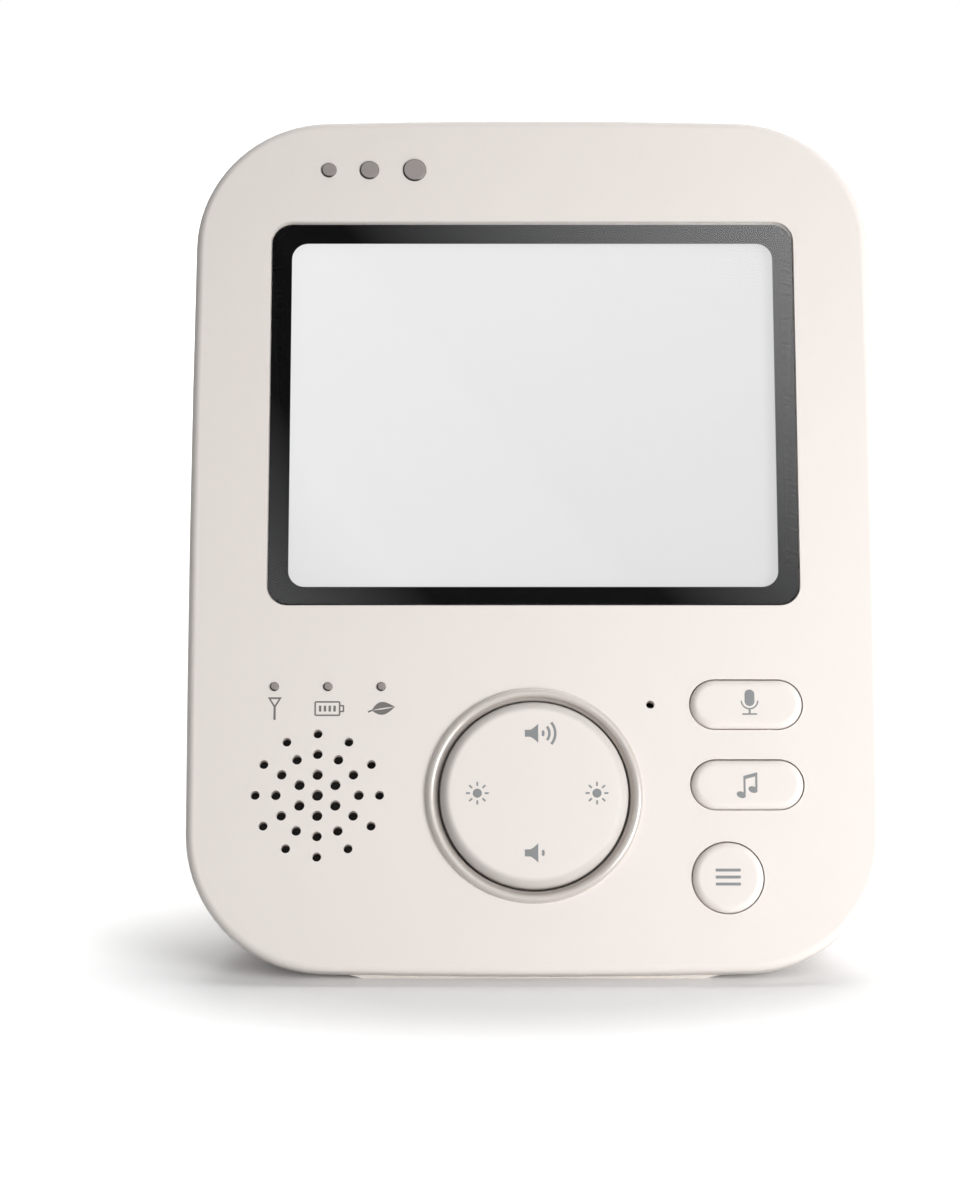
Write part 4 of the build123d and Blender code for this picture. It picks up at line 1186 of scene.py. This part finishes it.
@dataclass
class Sign:
    """One printed sign: patches joined into a mesh that rides on a body."""

    name: str
    body: Body
    level: float
    patches: list[Patch] = field(default_factory=list)

    def build(self, face: FaceFrame, ink: bpy.types.Material) -> bpy.types.Object:
        """Makes the sign's mesh.

        Args:
            face: The face that it is printed on.
            ink: Its material.

        Returns:
            The object, riding on its body.
        """
        grids = [patch.grid(face, self.level) for patch in self.patches]
        starts = np.cumsum([0] + [len(points) for points, _ in grids[:-1]])
        points = np.vstack([points for points, _ in grids])
        quads = np.vstack([quads + start for (_, quads), start in zip(grids, starts)])
        mesh = bpy.data.meshes.new(self.name)
        mesh.from_pydata(points.tolist(), [], quads.tolist())
        self._close(mesh, face)
        mesh.polygons.foreach_set("use_smooth", np.ones(len(mesh.polygons), bool))
        mesh.materials.append(ink)
        made = bpy.data.objects.new(self.name, mesh)
        bpy.context.collection.objects.link(made)
        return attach(made, self.body.value)

    @staticmethod
    def _close(mesh: bpy.types.Mesh, face: FaceFrame) -> None:
        """Joins points that coincide and turns the print outward.

        Args:
            mesh: The sign's mesh.
            face: The face that it is printed on.
        """
        edit = bmesh.new()
        edit.from_mesh(mesh)
        bmesh.ops.remove_doubles(edit, verts=edit.verts, dist=MERGE_DISTANCE)
        bmesh.ops.dissolve_degenerate(edit, dist=MERGE_DISTANCE, edges=edit.edges)
        edit.normal_update()
        outward = Vector(face.out)
        inward = [side for side in edit.faces if side.normal.dot(outward) < 0]
        bmesh.ops.reverse_faces(edit, faces=inward)
        edit.to_mesh(mesh)
        edit.free()


# Sub-assemblies


class Palette:
    """Finds the finish of each material slot and builds its material once."""

    def __init__(self, finishes: dict[str, Finish], record: dict[str, Any]) -> None:
        """Keeps the finishes and reads each node's slot from the record.

        Args:
            finishes: Slot name to finish.
            record: The part's record.
        """
        self.finishes = finishes
        self.slots = {row["node"]: row["material_slot"] for row in record["subparts"]}
        self.built: dict[str, bpy.types.Material] = {}

    def material(self, slot: str) -> bpy.types.Material:
        """Returns the slot's material, building it the first time."""
        if slot not in self.built:
            self.built[slot] = self.finishes[slot].material(slot)
        return self.built[slot]

    def dress(self, node: str) -> bpy.types.Object:
        """Gives a CAD node the material of its slot.

        Args:
            node: The node's name.

        Returns:
            The node's object.
        """
        piece = frame["nodes"][node]
        piece.data.materials.clear()
        piece.data.materials.append(self.material(self.slots[node]))
        return piece


@dataclass
class SubAssembly:
    """Pieces that belong together and the signs printed on them."""

    palette: Palette
    face: FaceFrame
    nodes: tuple[str, ...] = ()
    ink: str = "ink"

    def signs(self) -> list[Sign]:
        """The printed signs of these pieces."""
        return []

    def build(self) -> list[bpy.types.Object]:
        """Dresses the pieces and makes the signs.

        Returns:
            Every object of the sub-assembly.
        """
        dressed = [self.palette.dress(node) for node in self.nodes]
        ink = self.palette.material(self.ink)
        return dressed + [sign.build(self.face, ink) for sign in self.signs()]


@dataclass
class Housing(SubAssembly):
    """Front cover, rear shell, foot, lights and the signs under the status lights."""

    nodes: tuple[str, ...] = (
        "front_cover",
        "rear_shell",
        "base_foot",
        "case_screws",
        "status_lights",
        "sound_lights",
    )
    ink: str = "dark_ink"
    sign_y: float = 12.51
    antenna_x: float = -37.06
    battery_x: float = -29.52
    leaf_x: float = -21.65

    def signs(self) -> list[Sign]:
        """Antenna, battery and leaf, one under each status light."""
        return [
            Sign("antenna_sign", Body.HOUSING, 0.0, self._antenna()),
            Sign("battery_sign", Body.HOUSING, 0.0, self._battery()),
            Sign("leaf_sign", Body.HOUSING, 0.0, self._leaf()),
        ]

    def _antenna(self) -> list[Patch]:
        """An open triangle on its point over an upright stem.

        Returns:
            The sign's patches.
        """
        x, y = self.antenna_x, self.sign_y
        stem_top, stem_end, stem_line = y + 0.24, y - 1.64, 0.32
        outer = triangle((x, y), wide=1.0, top=1.64, point=0.0)
        inner = triangle((x, y), wide=0.57, top=1.38, point=0.48)
        stem = Patch.stroke(polyline([(x, stem_top), (x, stem_end)]), stem_line)
        return [Patch(outer, inner), stem]

    def _battery(self) -> list[Patch]:
        """A rounded frame with an open nub and four bars.

        Returns:
            The sign's patches.
        """
        x, y = self.battery_x, self.sign_y
        case_wide, case_high, case_corner, case_line = 3.5, 1.94, 0.16, 0.23
        nub_start, nub_end, nub_top, nub_foot, nub_line = x + 1.8, x + 2.3, y + 0.42, y - 0.42, 0.22
        bar_count, bar_start, bar_step = 4, x - 1.04, 0.69
        bar_wide, bar_high, bar_corner = 0.34, 0.86, 0.05
        case = rounded_box((x, y), case_wide, case_high, case_corner)
        nub = [(nub_start, nub_top), (nub_end, nub_top), (nub_end, nub_foot), (nub_start, nub_foot)]
        bars = [
            rounded_box((bar_start + bar_step * number, y), bar_wide, bar_high, bar_corner)
            for number in range(bar_count)
        ]
        return [
            Patch.stroke(case, case_line, closed=True),
            Patch.stroke(polyline(nub, 12), nub_line),
            *(Patch.filled(bar) for bar in bars),
        ]

    def _leaf(self) -> list[Patch]:
        """Two half leaves either side of a bare midrib, with a stem.

        The midrib is straight. Each half's belly swells off it by sin(pi s^fullness), where s is the share of
        the midrib, and the bare rib between the halves by sin(pi s).

        Returns:
            The sign's patches.
        """
        x, y = self.leaf_x, self.sign_y
        tail_x, tail_y, run, climb = x - 1.5, y - 0.25, 3.3, 0.5
        upper_belly, lower_belly, rib, fullness = 0.98, 0.86, 0.09, 0.85
        stem_start, stem_end, stem_line = (x - 2.05, y - 0.5), (x - 1.45, y - 0.24), 0.24
        lift = np.array([-0.15, 1.0])
        share = np.linspace(0, 1, 40)
        spine = np.stack([tail_x + run * share, tail_y + climb * share], axis=-1)
        belly = np.sin(np.pi * share ** fullness)[:, None]
        ends = np.sin(np.pi * share)[:, None]
        upper = Patch(spine + lift * upper_belly * belly, spine + lift * rib * ends, closed=False)
        lower = Patch(spine - lift * rib * ends, spine - lift * lower_belly * belly, closed=False)
        stem = Patch.stroke(polyline([stem_start, stem_end]), stem_line)
        return [upper, lower, stem]


@dataclass
class Display(SubAssembly):
    """Window, border, display and what holds them."""

    nodes: tuple[str, ...] = (
        "display_window",
        "window_mask",
        "display_gasket",
        "display_panel",
        "backlight",
        "display_holder",
        "display_ribbon",
        "ribbon_connector",
    )


@dataclass
class RoundControl(SubAssembly):
    """Tilting control with its ring, and the sound and light signs on it."""

    nodes: tuple[str, ...] = (
        "control_ring",
        "control_button",
        "control_pivot",
        "pivot_post",
        "control_switches",
    )
    louder: Spot = (0.53, 8.66)
    softer: Spot = (0.48, -8.48)
    dimmer: Spot = (-8.08, 0.05)
    brighter: Spot = (8.89, 0.06)
    waves: tuple[tuple[float, float], ...] = ((0.73, 31), (1.6, 38), (2.43, 40))
    wave_line: float = 0.38

    def signs(self) -> list[Sign]:
        """Loudspeaker signs above and below, suns left and right."""
        return [
            Sign("louder_sign", Body.CONTROL, CONTROL_TOP, self._loudspeaker(self.louder, len(self.waves))),
            Sign("softer_sign", Body.CONTROL, CONTROL_TOP, self._loudspeaker(self.softer, 1)),
            Sign("dimmer_sign", Body.CONTROL, CONTROL_TOP, self._sun(self.dimmer)),
            Sign("brighter_sign", Body.CONTROL, CONTROL_TOP, self._sun(self.brighter)),
        ]

    def _loudspeaker(self, centre: Spot, waves: int) -> list[Patch]:
        """A block with a flare, and arcs that spread from the flare's mouth.

        The flare's half height is neck + swell s^curve, s being the share of its length.

        Args:
            centre: The sign's middle.
            waves: How many arcs, each with its radius and half angle.

        Returns:
            The sign's patches.
        """
        x, y = centre
        left, neck, mouth = x - 1.85, x - 1.12, x + 0.05
        neck_high, swell, curve = 0.5, 0.88, 1.35
        share = np.linspace(0, 1, 24)
        rise = neck_high + swell * share ** curve
        flare_x = neck + (mouth - neck) * share
        top = np.stack([flare_x, y + rise], axis=-1)
        bottom = np.stack([flare_x, y - rise], axis=-1)
        block_top, block_foot = (
            polyline([(left, y + side), (neck, y + side)]) for side in (neck_high, -neck_high)
        )
        arcs = [
            Patch.stroke(arc((mouth, y), radius, -reach, reach), self.wave_line)
            for radius, reach in self.waves[:waves]
        ]
        return [Patch(block_top, block_foot, closed=False), Patch(top, bottom, closed=False), *arcs]

    @staticmethod
    def _sun(centre: Spot) -> list[Patch]:
        """A disc with rays all round.

        Args:
            centre: The sign's middle.

        Returns:
            The sign's patches.
        """
        disc_radius, ray_start, ray_end, ray_line, ray_count = 0.65, 1.03, 1.62, 0.26, 8
        angles = np.radians(np.arange(ray_count) * 360 / ray_count)
        ways = np.stack([np.cos(angles), np.sin(angles)], axis=-1)
        rays = [
            Patch.stroke(polyline([centre + way * ray_start, centre + way * ray_end]), ray_line)
            for way in ways
        ]
        return [Patch.filled(ellipse(centre, disc_radius, disc_radius)), *rays]


@dataclass
class PressButtons(SubAssembly):
    """Talk, lullaby, menu and power buttons with their signs and switches."""

    nodes: tuple[str, ...] = (
        "talk_button",
        "lullaby_button",
        "menu_button",
        "power_button",
        "button_switches",
        "power_switch",
    )
    talk: Spot = (30.8, 13.33)
    lullaby: Spot = (30.23, 1.32)
    menu: Spot = (27.36, -11.8)

    def signs(self) -> list[Sign]:
        """Microphone, notes and three bars."""
        return [
            Sign("talk_sign", Body.TALK, BUTTON_TOP, self._microphone()),
            Sign("lullaby_sign", Body.LULLABY, BUTTON_TOP, self._notes()),
            Sign("menu_sign", Body.MENU, BUTTON_TOP, self._bars()),
        ]

    def _microphone(self) -> list[Patch]:
        """A capsule in a cradle on a stand.

        Returns:
            The sign's patches.
        """
        x, y = self.talk
        capsule_y, capsule_wide, capsule_high, capsule_corner = y + 0.62, 1.4, 2.4, 0.68
        cradle_y, cradle_radius, cradle_line = y + 0.2, 1.17, 0.22
        stem_top, stem_end, stem_line = y - 0.9, y - 1.72, 0.3
        base_y, base_half, base_line = y - 1.74, 1.05, 0.24
        capsule = rounded_box((x, capsule_y), capsule_wide, capsule_high, capsule_corner)
        return [
            Patch.filled(capsule),
            Patch.stroke(arc((x, cradle_y), cradle_radius, 180, 360), cradle_line),
            Patch.stroke(polyline([(x, stem_top), (x, stem_end)]), stem_line),
            Patch.stroke(polyline([(x - base_half, base_y), (x + base_half, base_y)]), base_line),
        ]

    def _notes(self) -> list[Patch]:
        """Two notes joined by a slanted beam.

        Returns:
            The sign's patches.
        """
        x, y = self.lullaby
        left, right = x - 0.34, x + 1.34
        head_offset, head_wide, head_high, head_turn = 0.49, 0.68, 0.45, -22
        stem_line, beam_over, beam_high = 0.3, 0.15, 0.53
        beam_left, beam_right = y + 1.33, y + 1.87
        heads = [
            Patch.filled(ellipse((stem - head_offset, head_y), head_wide, head_high, head_turn))
            for stem, head_y in ((left, y - 1.37), (right, y - 0.63))
        ]
        stems = [
            Patch.stroke(polyline([(stem, foot), (stem, top)]), stem_line)
            for stem, foot, top in ((left, y - 1.25, y + 1.0), (right, y - 0.5, y + 1.55))
        ]
        beam_top, beam_foot = (
            polyline([(left - beam_over, beam_left - drop), (right + beam_over, beam_right - drop)])
            for drop in (0.0, beam_high)
        )
        return [*heads, *stems, Patch(beam_top, beam_foot, closed=False)]

    def _bars(self) -> list[Patch]:
        """Three level bars.

        Returns:
            The sign's patches.
        """
        x, y = self.menu
        wide, high, corner, step = 3.55, 0.42, 0.08, 0.99
        return [
            Patch.filled(rounded_box((x, y + rise), wide, high, corner)) for rise in (-step, 0.0, step)
        ]


@dataclass
class Sound(SubAssembly):
    """Loudspeaker and microphone behind the face."""

    nodes: tuple[str, ...] = (
        "speaker_cloth",
        "speaker_gasket",
        "speaker_frame",
        "speaker_cone",
        "speaker_contacts",
        "microphone",
        "microphone_boot",
    )


@dataclass
class Electronics(SubAssembly):
    """Main board and what stands on it."""

    nodes: tuple[str, ...] = (
        "main_board",
        "board_screws",
        "indicator_lamps",
        "radio_shield",
        "processor",
        "memory_chip",
        "antenna",
        "charging_socket",
        "socket_tongue",
        "battery_contacts",
    )


@dataclass
class BackFittings(SubAssembly):
    """Stand and battery with its door."""

    nodes: tuple[str, ...] = (
        "stand",
        "stand_pins",
        "stand_pad",
        "battery_pack",
        "battery_terminals",
        "battery_door",
        "door_screw",
    )


# Studio


@dataclass(frozen=True)
class Lamp:
    """A square lamp: its place and size in metres, and its power in watts."""

    name: str
    place: Triple
    size: float
    power: float


@dataclass(frozen=True)
class Reflections:
    """What a mirror sees of the room: a patch of sky about a diagonal, and an even grey around it.

    Places are directions, their shares to the right and up. In the patch the light climbs from the diagonal
    towards the upper right, and less towards the lower left.
    """

    around: float = 0.5
    dark: float = 0.08
    high_slant: float = 1.12
    high_start: float = 0.718
    high_climb: float = 41.0
    high_most: float = 5.5
    low_start: float = 0.578
    low_climb: float = 33.0
    low_most: float = 1.5
    middle: Spot = (0.016, 0.635)
    half_across: Span = (0.11, 0.25)
    half_upward: Span = (0.06, 0.16)

    def level(self, across: Wire, upward: Wire) -> Wire:
        """Brightness in a direction.

        Args:
            across: The direction's share to the right.
            upward: The direction's share up.

        Returns:
            The brightness.
        """
        high = ((across + upward * self.high_slant - self.high_start) * self.high_climb).most(0.0)
        low = ((self.low_start - across - upward) * self.low_climb).most(0.0)
        from_middle = abs(across - self.middle[0]), abs(upward - self.middle[1])
        patch = (1 - from_middle[0].ramp(*self.half_across)) * (1 - from_middle[1].ramp(*self.half_upward))
        sky = self.dark + high.least(self.high_most) + low.least(self.low_most)
        return self.around * (1 - patch) + sky * patch


@dataclass
class Studio:
    """Camera, lamps, pale floor and surroundings. Lengths whose names end in _m are in metres."""

    aim: Triple = (-7.70, 12.81, 50.96)
    distance: float = 478.4
    elevation: float = 11.7
    lens: float = 99.66
    clip_start_m: float = 0.01
    lamps: tuple[Lamp, ...] = (
        Lamp("side", (0.30, -0.28, 0.10), 0.2, 1.36),
        Lamp("key", (0.62, -0.78, 0.86), 0.75, 1.7),
        Lamp("low", (-0.02, -0.32, 0.03), 0.15, 0.10),
        Lamp("back", (0.22, 0.75, 1.3), 1.3, 14.0),
    )
    ambient: float = 0.19
    room_middle: float = 0.85
    room_right: float = 0.25
    room_top: float = 0.2
    reflections: Reflections = Reflections()
    floor_shade: float = 0.8
    floor_gain: float = 1.2
    floor_glow: float = 0.5
    # Distances from the unit over which the floor's painted shade gives way to glow.
    floor_painted_shade_span: Span = (30.0, 85.0)
    floor_far: Span = (500.0, 1500.0)
    floor_stretch: float = 1.8
    floor_mottle: float = 0.02
    floor_mottle_per_mm: float = 0.01
    floor_roughness: float = 0.9
    floor_size_m: float = 8.0

    def build(self) -> None:
        """Makes everything round the object."""
        self._camera()
        for lamp in self.lamps:
            self._area(lamp)
        self._floor()
        self._world()
        bpy.context.scene.view_settings.view_transform = "Standard"

    def _camera(self) -> None:
        """Camera in front of the unit, slightly above it."""
        data = bpy.data.cameras.new("camera")
        data.lens = self.lens
        data.clip_start = self.clip_start_m
        camera = bpy.data.objects.new("camera", data)
        tilt = radians(self.elevation)
        aim = Vector(self.aim) * MM
        camera.location = aim + Vector((0, -cos(tilt), sin(tilt))) * self.distance * MM
        camera.rotation_euler = (radians(90) - tilt, 0, 0)
        bpy.context.collection.objects.link(camera)
        bpy.context.scene.camera = camera

    def _area(self, lamp: Lamp) -> None:
        """Makes a lamp that faces the middle of the unit.

        Args:
            lamp: Where it is, how large and how strong.
        """
        data = bpy.data.lights.new(lamp.name, "AREA")
        data.size = lamp.size
        data.energy = lamp.power
        made = bpy.data.objects.new(lamp.name, data)
        made.location = lamp.place
        direction = Vector(self.aim) * MM - made.location
        made.rotation_euler = direction.to_track_quat("-Z", "Y").to_euler()
        bpy.context.collection.objects.link(made)

    def _floor(self) -> None:
        """Pale floor that shows the shadow under the unit, is painted darker close to the unit, and goes
        white further out.
        """
        half = self.floor_size_m / 2
        corners = [(-half, -half, 0), (half, -half, 0), (half, half, 0), (-half, half, 0)]
        mesh = bpy.data.meshes.new("floor")
        mesh.from_pydata(corners, [], [(0, 1, 2, 3)])
        material = bpy.data.materials.new("floor")
        material.use_nodes = True
        graph = Graph(material.node_tree)
        graph.finish(self._floor_shader(graph))
        mesh.materials.append(material)
        floor = bpy.data.objects.new("floor", mesh)
        bpy.context.collection.objects.link(floor)
        floor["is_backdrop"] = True

    def _floor_shader(self, graph: Graph) -> Wire:
        """Matt floor that is paler to the camera, and glows there by its distance from the unit, so it is
        painted darker close to the unit.

        Args:
            graph: The floor's node tree.

        Returns:
            The shader.
        """
        seen = graph.out(graph.node("ShaderNodeLightPath"), "Is Camera Ray")
        across, away = graph.along(ACROSS), graph.along((0.0, self.floor_stretch, 0.0))
        distance = (across * across + away * away) ** 0.5
        # Painted shade: no glow close to the unit, so the floor stays darker there.
        beyond_painted_shade, far = distance.ramp(*self.floor_painted_shade_span), distance.ramp(*self.floor_far)
        glow = seen * (beyond_painted_shade * self.floor_glow + far * (1 - self.floor_glow))
        mottle = (graph.noise(self.floor_mottle_per_mm, 1.0) - 0.5) * self.floor_mottle
        return graph.principled(
            Base_Color=(self.floor_shade + mottle) * (1 + seen * (self.floor_gain - 1)),
            Roughness=self.floor_roughness,
            Specular_IOR_Level=0.0,
            Emission_Color=glow,
            Emission_Strength=1.0,
        )

    def _world(self) -> None:
        """White to the camera, its own pattern to mirrors, and a soft room to everything else."""
        world = bpy.data.worlds.new("room")
        world.use_nodes = True
        bpy.context.scene.world = world
        graph = Graph(world.node_tree)
        way = graph.node("ShaderNodeSeparateXYZ", {}, {"Vector": graph.coordinates("Generated")})
        across, upward = graph.out(way, "X"), graph.out(way, "Z")
        room = self.ambient * (self.room_middle + self.room_right * across + self.room_top * upward)
        paths = graph.node("ShaderNodeLightPath")
        seen = graph.out(paths, "Is Camera Ray")
        mirrored = graph.out(paths, "Is Glossy Ray")
        level = room * (1 - mirrored) + self.reflections.level(across, upward) * mirrored
        sockets = {"Color": WHITE, "Strength": level * (1 - seen) + seen}
        background = graph.node("ShaderNodeBackground", {}, sockets)
        graph.node("ShaderNodeOutputWorld", {}, {"Surface": graph.out(background)})


def finishes(face: FaceFrame) -> dict[str, Finish]:
    """The finish of every material slot.

    Args:
        face: Where the face is.

    Returns:
        Slot name to finish.
    """
    up = triple(face.up)
    shell = from_display(238, 231, 226)
    control = triple(face.origin / MM)
    screen = triple(face.origin / MM + face.up * SCREEN_RISE)
    # The way whose facing lens edges get painted shade.
    painted_shade_way = triple(-0.8 * face.right - 0.6 * face.up)
    return {
        "shell": MouldedPlastic(shell, 0.52),
        # The buttons' plastic, with painted shade on the round control's rim.
        "button_plastic": PaintedRimShadePlastic(
            shell,
            0.46,
            shine=0.35,
            grain_depth=0.003,
            middle=control,
            right=triple(face.right),
            up=up,
        ),
        "soft_foot": SoftRubber(from_display(240, 233, 227)),
        "pearl_trim": PearlTrim(from_display(205, 198, 192)),
        "window": WindowGlass(),
        "black_border": BlackBorder(from_display(9, 9, 10)),
        "screen": ScreenSurface(from_display(100, 100, 100), screen, up),
        "backlight": MouldedPlastic(from_display(222, 222, 220), 0.5),
        "gasket": SoftRubber(from_display(48, 48, 50), 0.85),
        "inner_plastic": MouldedPlastic(from_display(130, 130, 132), 0.55),
        "ribbon": RibbonFilm(from_display(190, 120, 50), from_display(205, 150, 90)),
        "connector": MouldedPlastic(from_display(40, 40, 42), 0.5),
        "board": CircuitBoard(from_display(20, 84, 48), from_display(214, 160, 110), up),
        "steel": SheetMetal(from_display(190, 190, 192), 0.32),
        "switch": MouldedPlastic(from_display(52, 52, 54), 0.45),
        "lamp": SmokedLens(from_display(226, 222, 200)),
        "light_lens": SmokedLens(from_display(146, 138, 135), painted_shade_way),
        "tin_plate": SheetMetal(from_display(200, 200, 196), 0.36),
        "cloth": WovenCloth(from_display(42, 41, 41), up),
        "speaker_steel": SheetMetal(from_display(150, 150, 152), 0.42),
        "cone_paper": PressedPaper(from_display(60, 58, 56)),
        "spring_brass": SheetMetal(from_display(214, 186, 112), 0.28),
        "chip": MouldedPlastic(from_display(38, 38, 40), 0.38, grain_per_mm=9.0),
        "battery_wrap": MouldedPlastic(from_display(96, 104, 118), 0.4, coat=0.3),
        "ink": PrintedInk(from_display(139, 141, 142)),
        "dark_ink": PrintedInk(from_display(116, 113, 110)),
    }


def note_size(stage: str, sizes: dict[str, Any]) -> None:
    """Adds the shown object's bounds to the sizes.

    Args:
        stage: What the bounds are named.
        sizes: The sizes so far, added to.
    """
    low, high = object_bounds()
    sizes[stage] = [list(low), list(high)]


def main() -> None:
    """Builds the looks of the unit, sub-assembly by sub-assembly, and the studio."""
    logging.basicConfig(level=logging.INFO, format="%(message)s")
    sizes: dict[str, Any] = {}
    note_size("loaded", sizes)
    record = frame["record"]
    joints = {joint["name"]: joint for joint in record["behaviour"]["joints"]}
    face = FaceFrame.from_joints(joints)
    palette = Palette(finishes(face), record)
    for kind in (Housing, Display, RoundControl, PressButtons, Sound, Electronics, BackFittings):
        made = kind(palette, face).build()
        log.info("%s: %d pieces", kind.__name__, len(made))
    bare = [name for name, piece in frame["nodes"].items() if not piece.data.materials]
    log.info("nodes without a material: %s", bare)
    Studio().build()
    log.info("Studio: camera, lamps, floor and room")
    note_size("finished", sizes)


if __name__ == "__main__":
    main()
